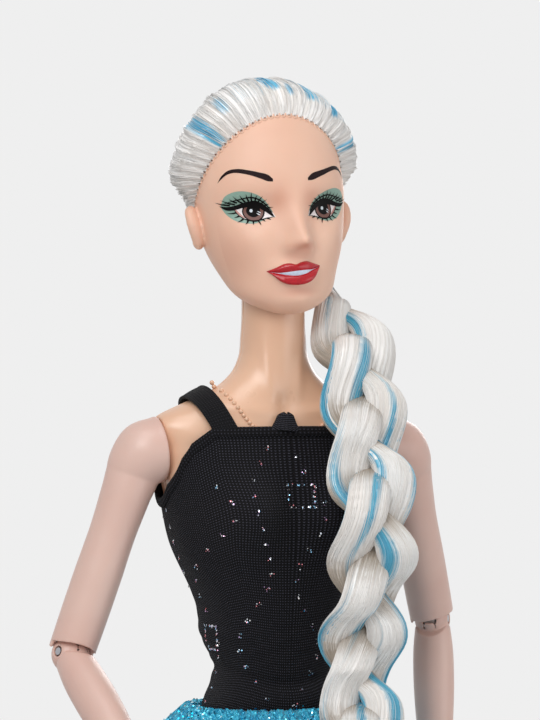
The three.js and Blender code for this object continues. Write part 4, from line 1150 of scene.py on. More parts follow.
def bound_edge(name, angles, heights, thick, tall, grown, drop):
    """A rolled rib binding along an edge of the top."""
    steps = len(angles) - 1

    def place(u, v):
        k = np.round(v * steps).astype(int)
        turn = 2 * np.pi * u
        points = body_point(angles[k], heights[k] - drop + tall * np.sin(turn), grown)
        return swollen(points, thick * np.cos(turn))
    obj = sheet_of(name, 16, steps, place, joined=True)
    smooth(obj)
    worn(obj, binding_knit, "torso")


def ribbed_peak():
    """A small pointed fold of ribbing at the middle of the neckline."""
    def place(u, v):
        half = 2.9 - 1.75 * v**0.7 - 0.9 * np.clip((v - 0.8) / 0.2, 0, 1) ** 2
        x = -1.0 + 0.35 * v + (2 * u - 1) * half
        z = 228.4 + 3.1 * v + 0.12 * np.sin(u * 40) * (1 - v)
        points = front_of_body(x, z, 0.9)
        points[:, 1] -= 0.8 * np.sin(np.pi * u) * (1 - 0.4 * v) + 0.2 * np.sin(u * np.pi * 14)
        return points
    worn(thickened(sheet_of("ribbed_peak", 90, 40, place), 0.5, 1.0, 50), peak_knit, "torso")


def strap(side):
    """A ribbon over the shoulder, from the top's front edge to its back edge."""
    foot, top, lean, inner_edge, width = 227.9, 240.0, 0.5, 10.3, 4.6

    def place(u, v):
        inner = inner_edge + width * u
        heights = np.linspace(foot, top, 240)
        sideways = inner[:, None] + (heights - foot) * lean
        half, _, _, power = read(body_table, heights).T
        depth = section_share(sideways, half + 0.6, power)
        first = depth[:, :1]
        wanted = np.sin((v * 2 - 1) * np.pi / 2)
        aim = np.abs(wanted)[:, None] * first
        k = np.argmax(depth <= aim + 1e-9, axis=1)
        k = np.where(k == 0, 1, k)
        rows = np.arange(len(u))
        d0, d1, a = depth[rows, k - 1], depth[rows, k], aim[:, 0]
        t = np.clip((d0 - a) / np.maximum(d0 - d1, 1e-9), 0, 1)
        z = heights[k - 1] + t * (heights[1] - heights[0])
        x = inner + (z - foot) * lean
        _, front, back, _ = read(body_table, z).T
        depth_here = np.where(wanted < 0, front, back) + 0.75
        y = np.sign(wanted) * np.abs(wanted) * first[:, 0] * depth_here
        crown = 0.18 * np.sin(np.pi * u) + 0.1 * (np.abs(u - 0.5) > 0.42)
        return np.column_stack([x, y, z + 0.85 - 0.45 * u + crown])
    obj = thickened(sheet_of(f"strap_ribbon_{side}", 24, 160, place), 0.55, 1.0, 50)
    worn(sided(obj, side), black_ribbon, "torso", [f"strap_{side}"])


def closure():
    """Overlapping soft fastening tape down the back, with a stitched edge."""
    def place(u, v):
        x = -4.4 + 8.8 * u
        z = 176.8 + (227.6 - 176.8) * v
        lip = 0.16 * (np.abs(u - 0.5) > 0.44) + 0.22 * (u > 0.52)
        return back_of_body(x, z, 1.65 + lip)
    obj = thickened(sheet_of("back_fastening", 60, 160, place), 0.45, 1.0, 40)
    worn(obj, black_ribbon, "torso", ["top_closure"])


skirt_flare, skirt_drop, skirt_thickness, skirt_folds, fold_depth = 22.0, 24.0, 0.8, 14, 1.1
# Outwards as a share of the flare and down as a share of the drop
skirt_table = [(0, 0.08, 0.07), (0.06, 0.12, -0.06), (0.18, 0.25, 0), (0.42, 0.52, 0.24), (0.7, 0.78, 0.56),
               (0.92, 0.96, 0.88), (1, 1, 1)]


def skirt():
    """Glittering cloth that flares in shallow folds, with small crinkles at its gathered top."""
    across, along = 700, 110
    angles = full_turn(across, 1)
    base = body_point(angles, np.full(across + 1, hem_height), clearance)
    heading = unit(base * (1, 1, 0))
    phase = generator.uniform(0, 2 * np.pi, 6)

    def place(u, v):
        k = np.round(u * across).astype(int)
        out, down = read(skirt_table, v).T * np.array([[skirt_flare], [skirt_drop]])
        weight = np.maximum(0, out / skirt_flare - 0.1)
        fold = np.cos(skirt_folds * angles[k])
        small = (0.3 * np.sin(41 * angles[k] + phase[0] + 3 * v)
                 + 0.22 * np.sin(67 * angles[k] + phase[1] - 4 * v)
                 + 0.16 * np.sin(103 * angles[k] + phase[2])) * (0.25 + 0.9 * np.exp(-v / 0.3))
        crush = 0.16 * np.sin(30 * v + 9 * np.sin(23 * angles[k] + phase[3])) * np.exp(-v / 0.45)
        wave = fold * fold_depth * weight
        points = base[k] + heading[k] * (out + wave + small + crush)[:, None]
        points[:, 2] = hem_height - down - 0.5 * skirt_thickness + 0.3 * wave + 0.35 * small + crush
        return points
    obj = sheet_of("skirt_cloth", across, along, place)
    edit(obj, weld)
    smooth(obj)
    worn(obj, sequins, "torso", ["skirt"])
    return obj


def waistband():
    def place(u, v):
        angle = 2 * np.pi * u
        points = body_point(angle, 167.9 - clearance - 3.0 * v, clearance + 0.55)
        return swollen(points, 0.16 * np.sin(angle * 96) * np.sin(np.pi * v))
    obj = sheet_of("skirt_waistband_cloth", 480, 12, place)
    edit(obj, weld)
    thickened(obj, 0.5, 0.0, 60)
    worn(obj, sequins, "torso", ["skirt_waistband"])


def round_body(z, arc, grown):
    """Points on the cloth at distances round the body from the middle of its front."""
    fine = np.linspace(-np.pi / 2 - np.pi, -np.pi / 2 + np.pi, 721)
    spots = []
    for height, reach in zip(z, arc):
        level = np.full(fine.shape, height)
        ring = swollen(body_point(fine, level, grown), knit_push(np.mod(fine, 2 * np.pi), level))
        length = reach_along(ring)
        k = np.clip(np.searchsorted(length, length[360] + reach), 1, 720)
        spots.append(np.concatenate([ring[k], unit(ring[k] - ring[k - 1])]))
    return np.array(spots)


def flakes(name, spots, across, normals, size, tints, tilt=0.35):
    """Small six-sided foil flakes lying on a surface, each tilted its own way."""
    count = len(spots)
    normals = unit(normals + generator.normal(0, tilt, (count, 3)))
    side = unit(np.cross(normals, across + 1e-6))
    up = np.cross(normals, side)
    spin = generator.uniform(0, np.pi, count)
    angles = spin[:, None] + np.pi / 3 * np.arange(6)
    size = np.broadcast_to(size, (count,))
    points = spots[:, None] + size[:, None, None] * (
        side[:, None] * np.cos(angles)[..., None] + up[:, None] * np.sin(angles)[..., None])
    obj = mesh_of(name, points, np.arange(count * 6).reshape(count, 6).tolist())
    colours = np.array([(*linear(tint), 1) for tint in tints])[generator.integers(0, len(tints), count)]
    layer = obj.data.attributes.new("tint", "FLOAT_COLOR", "POINT")
    layer.data.foreach_set("color", np.repeat(colours, 6, axis=0).astype(np.float32).ravel())
    return obj


def knit_glitter(angles, high):
    """Dots of glitter in lozenge chains over the jersey, and two small dotted squares on its front."""
    spacing, swing, period, step = 10.2, 2.75, 26.0, 2.95
    # Heights of the lowest and highest dots, and of the chains' full swing
    lowest, highest, full_swing = 173.5, 226.5, 187
    flakes_in_dot, square_dots, chain_scatter, square_scatter = 7, 18, 0.27, 0.13
    # Distance round the body and height of their middles, width and height
    squares = ((0.9, 216.2, 5.4, 4.2), (-16.6, 189.1, 3.4, 4.6))
    z, arc = [], []
    for column in range(-5, 6):
        for height in np.arange(lowest, highest, step):
            wave = (-1) ** column * swing * np.cos(2 * np.pi * (height - full_swing) / period)
            z.append(height + 0.5 * step * (column % 2))
            arc.append((column + 0.28) * spacing + wave)
    loose = len(z)
    for x_middle, z_middle, wide, tall in squares:
        for share in np.arange(0, 1, 1 / square_dots):
            turn = share * 4
            edge, t = int(turn), turn % 1 - 0.5
            across, up = ((t, 0.5), (0.5, -t), (-t, -0.5), (-0.5, t))[edge]
            z.append(z_middle + up * tall)
            arc.append(x_middle + across * wide)
    z, arc = np.array(z), np.array(arc)
    keep = z < 226.3
    scatter = np.where(np.arange(len(z)) < loose, chain_scatter, square_scatter)[keep]
    found = round_body(z[keep], arc[keep], 0.97)
    spots, along = found[:, :3], found[:, 3:]
    heading = np.mod(np.arctan2(spots[:, 1], spots[:, 0]), 2 * np.pi)
    inside = spots[:, 2] < np.interp(heading, angles, high) - 1.6
    spots, along, scatter = (np.repeat(rows[inside], flakes_in_dot, axis=0)
                             for rows in (spots, along, scatter[:, None]))
    up = vec(0, 0, 1)
    sideways = generator.normal(0, 1, scatter.shape)
    cluster = spots + along * scatter * sideways + up * scatter * generator.normal(0, 1, scatter.shape)
    normals = unit(np.cross(along, up))
    tints = [(236, 240, 246), (216, 222, 232), (240, 150, 160), (150, 205, 240), (250, 250, 250),
             (190, 160, 200)]
    obj = flakes("knit_glitter", cluster + normals * 0.1, along, normals,
                 generator.uniform(0.06, 0.15, len(cluster)), tints)
    worn(obj, foil, "torso")


def skirt_glitter(cloth):
    """Foil scales scattered thickly over the skirt's cloth."""
    faces = cloth.data.polygons
    centres = np.array([face.center for face in faces])
    normals = np.array([face.normal for face in faces])
    chosen = generator.choice(len(faces), 9000, replace=True)
    spots = (centres[chosen] - doll_axis) / MM + generator.normal(0, 0.12, (len(chosen), 3))
    outward = normals[chosen] * np.where(normals[chosen][:, 2] < 0, -1, 1)[:, None]
    tints = [(126, 226, 246), (48, 180, 214), (20, 150, 192), (224, 246, 250), (86, 208, 236),
             (38, 168, 204)]
    obj = flakes("skirt_scales", spots + outward * 0.12, np.broadcast_to(vec(0.3, 0.2, 0.9), spots.shape),
                 outward, generator.uniform(0.11, 0.24, len(spots)), tints, 0.5)
    worn(obj, foil, "torso")


top_angles, top_high, top_low = knit_top()
front_edge = top_edge(top_angles, 1.0)
for name, heights, thick, tall, drop in (("neckline_binding", front_edge, 0.5, 0.95, 0.8),
                                         ("hem_binding", top_low, 0.32, 0.45, -0.4)):
    bound_edge(name, top_angles, heights, thick, tall, 1.15, drop)
ribbed_peak()
closure()
for side in ("left", "right"):
    strap(side)
knit_glitter(top_angles, top_high)
waistband()
skirt_glitter(skirt())


# The head's shell
def ear(side):
    """An ear with a rolled rim, a hollow inside it and a small hole in its lobe."""
    obj = ball(1)
    points = doll_points(obj)
    across, up = points[:, 1], points[:, 2]
    radius = np.sqrt((across / 0.95) ** 2 + (up * 1.02) ** 2)
    outer = points[:, 0] > 0
    hollow = -1.15 * bell((radius - 0.1) / 0.42) + 0.12 * bell((radius - 0.82) / 0.14)
    fold = 0.22 * bell((np.hypot(across - 0.1, up - 0.05) - 0.5) / 0.1) * (across > -0.3)
    points[:, 0] += np.where(outer, hollow + fold, 0)
    points[:, 1] *= 1 - 0.22 * np.clip(-up, 0, 1)
    local = points * (1.5, 2.3, 4.3)
    local = turned_about(local, (1, 0, 0), math.radians(-8))
    local = turned_about(local, (0, 0, 1), math.radians(30))
    local[:, 0] = 1.12 * local[:, 0] + 0.26 * np.clip(local[:, 2] + 2.5, 0, 6)
    middle = vec(0.985 * head_half, 0.1 * head_back, chin_height + 0.37 * head_rise)
    reshaped(obj, local + (middle + (0, 0, 0.5)))
    minus(obj, moved(rod(0.28, -4, 4, "X", 24), *(middle - (0, 1, 3))))
    return sided(obj, side)


def settle(obj):
    """Leans and turns a piece that was made on the upright head."""
    return reshaped(obj, set_head(doll_points(obj)))


# Sprayed cheek blush, and painted shade by the inner eye corners, under the nose and under the lower lip:
# sideways place, height, spread across and up, and strength
blush_and_shade_spots = [(3.3, 272.0, 2.0, 3.0, 0.45), (0, 263.2, 2.3, 0.75, 0.8), (0, 254.7, 3.2, 0.8, 0.4),
               (11.5, 262, 3.5, 5, 0.2)]


def head():
    def place(u, v):
        """Rows and columns lie closer together over the face."""
        wave = np.sin(2 * np.pi * (v - 0.66)) - np.sin(2 * np.pi * 0.34)
        fall = np.pi * (1 - v) - 0.16 * wave
        even = 2 * np.pi * u
        return head_point(even - 0.45 * np.sin(even), np.clip(fall, 0.02, np.pi - 0.02))
    obj = sheet_of("head_shell", 280, 220, place, joined=True, capped=True)
    plus(obj, ear("left"), ear("right"))
    ground = neck_top + clearance
    minus(obj, rod(neck_radius + 2 * clearance, chin_height - head_rise, ground),
          rod(3.8, ground - 2, ground + 4), rod(5.3, ground + 1.2, neck_top + 5.8))
    moulded(obj, 0.25, 2)
    x, y, z = doll_points(obj).T
    # Cheek blush and painted shade, marked on the face's points
    blush_and_shade = sum(strength * bell((np.abs(x) - place) / across, (z - high) / tall)
                for place, high, across, tall, strength in blush_and_shade_spots)
    point_values(obj, "blush_and_shade", np.where(y < -5, np.clip(blush_and_shade, 0, 1), 0))
    settle(obj)
    worn(obj, face_vinyl, "head", ["head"])


# Hair
def towards(points):
    """Turn from straight ahead and fall from the crown, on the head's egg, of points near it."""
    x, y, z = np.asarray(points, float).T
    level = np.clip((z - head_middle) / np.where(z > head_middle, head_up, head_down), -0.999, 0.999)
    fall = np.arccos(level)
    turn = np.arctan2(x / head_half, -y / np.where(y < 0, head_front, head_back))
    return turn, fall


def direction(turn, fall):
    return np.stack([np.sin(fall) * np.sin(turn), -np.sin(fall) * np.cos(turn), np.cos(fall)], -1)


def at_direction(ways, grown):
    """Points over the skull in directions, grown outwards."""
    ways = unit(ways)
    shape = ways.shape[:-1]
    high = np.clip((ways[..., 2] + 0.06) / 0.3, 0, 1)
    high = high * high * (3 - 2 * high)
    grown = grown * (0.5 + 0.5 * high) + 2.6 * high * ways[..., 0] ** 2 * np.clip(grown / 2.0, 0, 1)
    turn, fall = np.arctan2(ways[..., 0], -ways[..., 1]), np.arccos(np.clip(ways[..., 2], -1, 1))
    grown = np.broadcast_to(grown, shape).ravel()
    return head_point(turn.ravel(), fall.ravel(), grown, 0.0).reshape(*shape, 3)


# Hairline from the middle of the forehead to the nape: turn and fall in degrees on the head's egg
hairline = [(0, 40.5), (12, 41.2), (25, 43.5), (38, 48), (52, 55), (66, 64.5), (80, 76), (92, 86),
            (104, 94), (118, 101), (140, 109), (162, 113), (180, 114)]
hairline_turns, hairline_falls = np.radians(np.array(hairline, float)).T


def hairline_way(share):
    """The hairline from behind the right ear (0) over the forehead (0.5) to behind the left ear (1)."""
    ways = direction(hairline_turns, hairline_falls)
    reach = reach_along(ways)
    wanted = np.abs(np.asarray(share) - 0.5) * 2 * reach[-1]
    turn, fall = (np.interp(wanted, reach, column) for column in (hairline_turns, hairline_falls))
    return direction(turn * np.sign(np.asarray(share) - 0.5 + 1e-9), fall)


# Where the hair gathers behind the left ear: sideways, back and height
gather_course = np.array([(-1.45, 13.8, 269.6), (6.5, 13.8, 261.4), (13.3, 8.7, 254.6), (14.8, 3.5, 251.4),
                          (13.9, 0.9, 249.1)])


def unset_head(points):
    """Back from where the head sits to the upright head."""
    straight = turned_about(points, (0, 0, 1), -head_turn)
    return turned_about(straight, (0, 1, 0), -head_lean, (0, 0, neck_top))


# Shares of the way over the skull that carry the hair's shape, close together at the roots
root_steps = np.array([0, 0.01, 0.022, 0.036, 0.055, 0.08, 0.12, 0.18, 0.27, 0.38, 0.5, 0.62, 0.74])
tuft_count = 74
crest_way = unit(vec(-0.32, 0.5, 0.8))


def off_hairline(start):
    """The way in which hair leaves the hairline, away from the face."""
    return unit(start - 0.55 * direction(0.0, math.radians(80)))


def along_hair(places):
    """The root step that each share of a whole course stands for, with its three steps in the gather."""
    steps = [*root_steps, 0.86, 0.94, 1]
    return np.interp(places, np.linspace(0, 1, len(steps)), steps)


def hair_courses(roots, lifts, spread, steps=30):
    """Courses of hair: square off the hairline, up to the crest and down the back into the gather."""
    start = hairline_way(roots)
    away = off_hairline(start)
    rope = unset_head(gather_course)
    meet = direction(*towards(rope[1:2]))[0]
    front = np.exp(-(((roots - 0.5) / 0.27) ** 4))[:, None]
    crest = unit(front * crest_way * 1.15 + (1 - front) * meet)
    t = root_steps[None, :, None]
    ways = ((1 - t) ** 3 * start[:, None] + 3 * t * (1 - t) ** 2 * away[:, None] * 1.06
            + 3 * t**2 * (1 - t) * crest[:, None] + t**3 * meet)
    over = at_direction(ways, lifts(roots[:, None], root_steps[None]))
    angle = spread[:, 0] * 2 * np.pi
    radius = 3.4 * np.sqrt(spread[:, 1])
    side, up = vec(0.55, 0.45, 0.0), vec(0.0, 0.35, 0.9)
    offset = np.outer(np.cos(angle) * radius, unit(side)) + np.outer(np.sin(angle) * radius, unit(up))
    far = rope[None, 2:] + offset[:, None] * np.array([0.95, 0.9, 0.85])[None, :, None]
    whole = np.concatenate([over, far], axis=1)
    places = np.linspace(0, 1, steps)
    return np.stack([along_points(course, places) for course in whole])


def tuft_share(root, t):
    """How full a tuft is: apart from its neighbours at the plug holes, closed up a little way on."""
    across = np.cos(2 * np.pi * root * tuft_count)
    closed = 0.036 + 0.022 * np.sin(2 * np.pi * root) ** 2 + 0.01 * np.sin(root * 411)
    cut = 0.4 - 1.4 * np.clip(t / closed, 0, 1)
    apart = np.clip((across - cut) / (1.001 - cut), 0, 1) ** 0.5
    merged = np.clip((t / closed - 0.2) / 0.9, 0, 1)
    return apart + (1 - apart) * merged


def hair_lift(root, t):
    """How high the hair stands over the scalp along its course."""
    rise = 0.12 + 2.5 * (1 - np.exp(-((t / 0.08) ** 1.5)))
    crest = 1.6 * bell((root - 0.43) / 0.06, (t - 0.24) / 0.13)
    clumps = (0.11 * np.sin(root * 213 + 4 * t) + 0.09 * np.sin(root * 371 + 2.1 - 3 * t)
              + 0.05 * np.sin(root * 953)) * np.clip((t - 0.03) / 0.06, 0, 1)
    ridges = 0.16 * np.cos(2 * np.pi * root * tuft_count) * np.exp(-t / 0.07)
    return -0.08 + (0.08 + rise + ridges) * tuft_share(root, t) + crest + clumps


# Blue streaks: root, half width, where each starts and ends along the hair, and how strong it is
blue_streaks = [(0.362, 0.011, 0, 0.45, 1), (0.405, 0.008, 0.08, 0.3, 0.6), (0.49, 0.011, 0.14, 0.45, 1),
                (0.515, 0.006, 0.1, 0.3, 0.7), (0.555, 0.01, 0.1, 0.5, 0.9), (0.6, 0.009, 0.08, 0.5, 0.9),
                (0.66, 0.008, 0, 0.25, 0.9), (0.15, 0.012, 0.3, 1, 0.8), (0.86, 0.012, 0, 1, 0.8),
                (0.45, 0.04, 0.08, 0.5, 0.3), (0.58, 0.06, 0.08, 0.6, 0.36), (0.25, 0.05, 0.4, 0.9, 0.2)]


def blueness(root, t):
    total = np.zeros(np.broadcast(root, t).shape)
    for middle, half, start, end, strength in blue_streaks:
        across = np.clip(1.5 - np.abs(root - middle - 0.006 * np.sin(9 * t)) / half, 0, 1)
        along = np.clip((t - start) / 0.05 + 0.2, 0, 1) * np.clip((end - t) / 0.12, 0, 1)
        total = np.maximum(total, strength * across * along)
    return total


def hair_cap():
    """The tufts as one combed sheet, and fine fibres over them."""
    columns, steps = tuft_count * 10, 58
    roots = np.linspace(0, 1, columns + 1)
    spread = np.column_stack([roots, np.full(columns + 1, 0.95)])
    courses = hair_courses(roots, hair_lift, spread, steps + 1).transpose(1, 0, 2)
    cap = sheet_of("hair_tufts", columns, steps, lambda u, v: set_head(courses.reshape(-1, 3)))
    along = along_hair(np.linspace(0, 1, steps + 1))
    point_values(cap, "blue", blueness(roots[None], along[:, None]).ravel())
    smooth(cap)
    worn(cap, hair, "head", ["hair_cap"])

    fibres_in_tuft, steps = 16, 28
    many = tuft_count * fibres_in_tuft
    place = np.linspace(0, 1, steps)
    roots = (np.repeat(np.arange(tuft_count), fibres_in_tuft) + 0.5 * generator.uniform(-1, 1, many)
             * generator.random(many) ** 0.4) / tuft_count
    roots = np.clip(roots, 0.001, 0.999)
    raised = generator.uniform(0.0, 0.16, (many, 1))

    def strands_lift(root, t):
        return hair_lift(root, t) + raised * np.clip(t / 0.03, 0, 1) + 0.02
    spread = np.column_stack([roots, generator.uniform(0.9, 1.06, many)])
    fine = hair_courses(roots, strands_lift, spread, steps)
    wander = generator.normal(0, 1, (many, 4, 3))
    drift = np.stack([along_points(row, place) for row in wander])
    fine = fine + drift * 0.16 * np.clip((place - 0.2) / 0.3, 0, 1)[None, :, None]
    radii = (0.05 + 0.05 * generator.random((many, 1))) * (1 - 0.2 * place)[None]
    tones = blueness(roots[:, None], along_hair(place)[None]) * generator.uniform(0.3, 1.5, (many, 1))
    half = many // 2
    for name, rows in (("hair_fibres_right", slice(0, half)), ("hair_fibres_left", slice(half, None))):
        worn(tubes(name, set_head(fine[rows]), radii[rows], 3, tones[rows]), hair, "head")


def plug_line():
    """The small raised scallops of vinyl where the tufts are rooted."""
    turn = np.linspace(-1, 1, 9)
    spots = []
    for root in np.arange(tuft_count) / tuft_count:
        if not 0.1 < root < 0.9:
            continue
        start, near, far = hairline_way(np.array([root, root - 0.3 / tuft_count, root + 0.3 / tuft_count]))
        across, out = far - near, off_hairline(start) - start
        out = unit(out - unit(across) * (out @ unit(across)))
        ways = start + np.outer(turn, across) - np.outer(0.062 * (1 - turn**2) - 0.028, out)
        spots.append(set_head(at_direction(ways, 0.02)))
    obj = tubes("plug_line", spots, np.full((len(spots), len(turn)), 0.13), 6)
    worn(obj, face_vinyl, "head")


def scalp():
    """A close cap of hair under the tufts, so that nothing shows through."""
    def place(u, v):
        turn = 2 * np.pi * u
        folded = np.abs(np.mod(turn + np.pi, 2 * np.pi) - np.pi)
        edge = np.interp(folded, hairline_turns, hairline_falls) - 0.13
        fall = 0.02 + (edge - 0.02) * v
        lift = 0.1 + 1.1 * np.clip((1 - v) / 0.12, 0, 1) ** 0.6
        return head_point(turn, fall, lift, 0.0)
    obj = sheet_of("scalp_hair", 180, 90, place)
    settle(obj)
    smooth(obj)
    worn(obj, hair, "head")


# The plait in front of the left shoulder: sideways, forwards and height of its course
braid_course = np.array([
    (14.4, 0, 250.2), (14.2, -8.5, 241.6), (13.1, -14.2, 232.4), (12.2, -18.2, 224.0),
    (11.4, -24.0, 213.98), (11.11, -23.5, 203.62), (11.0, -20.6, 193.6), (9.9, -19.2, 181.91),
    (9.24, -25.0, 172.23), (9.02, -32.5, 164.88), (8.8, -37.5, 157.53)])
strand_half, strand_depth, plait_half, plait_depth, plait_turns = 4.5, 2.7, 4.1, 2.5, 2.35
# How quickly a strand crosses from one side of the plait to the other, and how far the plait faces aside
swing_haste, plait_twist = 1.2, math.radians(-16)
plait_table = [(0, 0.9), (0.08, 1.0), (0.2, 1.02), (0.5, 1.04), (0.75, 0.98), (0.94, 0.85), (1, 0.62)]


def evenly(points, places):
    """Points and headings at shares of a line's length."""
    fine = along_points(points, np.linspace(0, 1, 1200))
    reach = reach_along(fine)
    wanted = np.asarray(places) * reach[-1]
    spots, ahead, behind = (np.stack([np.interp(wanted + shift, reach, column) for column in fine.T], -1)
                            for shift in (0, 0.3, -0.3))
    return spots, unit(ahead - behind)


def strand_frame(which, places):
    """A strand's middle line, the plait's two directions square to its course, and its girth."""
    centre, along = evenly(braid_course, places)
    across = unit(np.cross(np.broadcast_to(vec(0, -1, 0), along.shape), along))
    out = np.cross(along, across)
    c, s = math.cos(plait_twist), math.sin(plait_twist)
    across, out = across * c + out * s, out * c - across * s
    girth = read(plait_table, places)
    phase = 2 * np.pi * (plait_turns * places + which / 3)[:, None]
    swing = np.tanh(swing_haste * np.sin(phase)) / math.tanh(swing_haste)
    heart = centre + across * plait_half * girth * swing + out * plait_depth * girth * np.sin(2 * phase)
    return heart, across, out, girth


def strand_points(which, places, angles, grown=0.0):
    """Points on a strand at places along it and angles about it, both given for each course."""
    heart, across, out, girth = strand_frame(which, places)
    c, s = np.cos(angles)[..., None], np.sin(angles)[..., None]
    lobes = 1 + 0.02 * np.sin(5 * angles + 14 * places[None] + which)[..., None]
    half, depth = ((size * girth)[None] * 0.94 * lobes + grown for size in (strand_half, strand_depth))
    return heart[None] + across[None] * half * c + out[None] * depth * s


# Each strand's blue bands: the angle of the middle and the half width
blue_bands = [
    [(2.7, 0.36), (5.2, 0.5)],
    [(0.9, 0.4), (3.0, 0.26), (4.4, 0.3)],
    [(1.9, 0.2), (0.35, 0.36), (4.0, 0.3)],
]


def strand_blue(which, angle, place):
    """Blue bands that run along the strands."""
    total = np.zeros(np.broadcast(angle, place).shape)
    for middle, half in blue_bands[which]:
        gap = np.abs(np.mod(angle - middle - 0.35 * np.sin(9 * place + which) + np.pi, 2 * np.pi) - np.pi)
        fade = 0.62 + 0.38 * np.sin(13 * place + 2 * which + 3 * middle)
        total = np.maximum(total, fade * np.clip(1.35 - 0.7 * gap / half, 0, 1.2))
    return np.clip(total, 0, 1)


def strand_under_shade(which, place):
    """How far a strand lies under the others, where it takes less light: painted shade in its colour."""
    return 0.5 - 0.5 * np.sin(4 * np.pi * (plait_turns * place + which / 3) - 0.8)


def strand(which):
    """A strand's own body, marked with its blue bands and with painted shade where it lies under the others.
    """
    steps, around = 260, 40
    places = np.linspace(0, 1, steps)
    angles = np.broadcast_to(full_turn(around)[:, None], (around, steps))
    obj = ringed(f"plait_strand_{which + 1}", strand_points(which, places, angles).transpose(1, 0, 2))
    smooth(obj)
    points = doll_points(obj)
    heart, across, out, _ = strand_frame(which, places)
    nearest = np.argmin(np.linalg.norm(points[:, None, :] - heart[None, ::4], axis=2), axis=1) * 4
    local = points - heart[nearest]
    angle = np.arctan2((local * out[nearest]).sum(1) / strand_depth,
                       (local * across[nearest]).sum(1) / strand_half)
    point_values(obj, "blue", strand_blue(which, angle, places[nearest]))
    point_values(obj, "painted_under_shade", strand_under_shade(which, places[nearest]))
    return worn(obj, strand_hair, None)


def strand_fibres(which):
    """Fine fibres that run along a strand and wander a little round it."""
    count, steps, sides = 240, 90, 3
    places = np.linspace(0, 1, steps)
    start = generator.uniform(0, 2 * np.pi, (count, 1))
    wander = start + 0.25 * np.sin(places * 9 + start * 3) + generator.normal(0, 0.4, (count, 1)) * places
    courses = strand_points(which, places, wander, generator.uniform(0, 0.09, (count, 1, 1)))
    radii = np.broadcast_to(0.045 + 0.045 * generator.random((count, 1)), (count, steps))
    tones = strand_blue(which, wander, places) * generator.uniform(0.6, 1.3, (count, 1))
    obj = tubes(f"plait_fibres_{which + 1}", courses, radii, sides, tones)
    # Painted shade where the strand lies under the others
    under_shade = np.broadcast_to(strand_under_shade(which, places)[None, :, None], (count, steps, sides))
    point_values(obj, "painted_under_shade", under_shade.ravel())
    return worn(obj, strand_hair, None)


def braid():
    """The plait's three strands and their fibres, in place of the hidden CAD plait."""
    pieces = [make(which) for which in range(3) for make in (strand, strand_fibres)]
    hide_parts("hair_braid")
    for obj in pieces:
        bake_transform(obj)


# The plait's last heading and two directions square to it
end_heading = unit(braid_course[-1] - braid_course[-2])
end_side = unit(np.cross(end_heading, vec(1, 0, 0)))
end_up = np.cross(end_heading, end_side)


def below_plait(reach):
    """Points under the plait's end, a reach along its last heading and sagging a little."""
    points = braid_course[-1] + np.outer(reach, end_heading)
    points[:, 2] -= reach**2 / 90
    return points


def hair_tie():
    """Four wraps of elastic thread."""
    wrap_radius, thread_radius = 3.05, 0.42
    turn = np.linspace(0, 2 * np.pi, 61)
    circle = np.outer(np.cos(turn), end_side) + np.outer(np.sin(turn), end_up)
    pieces = []
    for k, reach in enumerate(np.linspace(0.75, 2.45, 4)):
        wave = end_heading * 0.1 * np.sin(turn + k)[:, None]
        ring = below_plait(np.array([reach])) + wrap_radius * circle + wave
        pieces.append(tubes("wrap", ring[None], np.full((1, len(turn)), thread_radius), 10))
    wraps = melted("hair_tie_wraps", pieces)
    smooth(wraps)
    worn(wraps, elastic, "torso", ["hair_tie"])


def tail():
    """The loose ends below the elastic."""
    count, steps = 420, 22
    tail_start, tail_length = 2.2, 15.6
    places = np.linspace(0, 1, steps)
    angle = generator.uniform(0, 2 * np.pi, (count, 1)) + places * 0.8
    girth = 2.4 + 1.1 * np.sin(np.pi * places**0.8) - 1.0 * places
    radius = np.sqrt(generator.random((count, 1))) * girth
    length = generator.uniform(0.82, 1.0, (count, 1))
    courses = []
    for k in range(count):
        out = np.outer(np.cos(angle[k]), end_side) + 0.85 * np.outer(np.sin(angle[k]), end_up)
        centre = below_plait(tail_start + places * tail_length * length[k])
        courses.append(centre + radius[k][:, None] * out)
    tones = (np.mod(angle[:, :1] + 0.5, 2 * np.pi) < 1.3) * np.ones((1, steps))
    radii = np.broadcast_to(0.16 * (1 - 0.55 * places), (count, steps))
    obj = tubes("tail_fibres", courses, radii, 3, tones)
    worn(obj, hair, "torso", ["braid_tail"])


head()
scalp()
hair_cap()
plug_line()
braid()
hair_tie()
tail()

# The painted face: outlines as distances from the middle of the face and heights
face_middle = -0.3
eyelid_colour, iris_colour = (143, 175, 160), (116, 76, 68)
shadow_top = [(12.3, 271.4), (11.7, 273.3), (10.4, 274.0), (8.8, 274.0), (7.4, 273.6), (6.1, 272.9),
              (4.9, 271.7), (4.1, 270.3), (3.6, 268.9)]
shadow_bottom = [(12.3, 271.4), (12.0, 270.7), (11.5, 269.8), (10.9, 269.1), (9.95, 268.4),
                 (8.6, 268.0), (7.2, 267.9), (5.9, 268.3), (4.7, 268.8), (3.6, 268.9)]
lid_line = [(12.4, 271.45), (11.3, 270.95), (10.3, 271.02), (9.06, 271.38), (7.5, 271.62),
            (6.0, 271.28), (4.8, 270.28), (3.75, 268.9)]
lid_widths = [(0, 0.05), (0.1, 0.6), (0.3, 0.85), (0.55, 1.12), (0.8, 0.82), (0.94, 0.42), (1, 0.06)]
lower_line = [(10.35, 270.8), (9.55, 269.5), (8.25, 268.55), (6.5, 268.42), (5.0, 268.8), (4.0, 268.95)]
lash_arc = [(12.2, 271.75), (11.15, 272.15), (9.6, 272.55), (7.6, 272.85), (6.1, 272.3), (4.85, 271.2),
            (4.0, 269.85)]
brow_top = [(12.6, 275.8), (11.9, 277.25), (10.9, 278.15), (9.6, 278.3), (8.0, 277.95), (6.3, 277.45),
            (4.7, 276.85), (3.95, 276.1)]
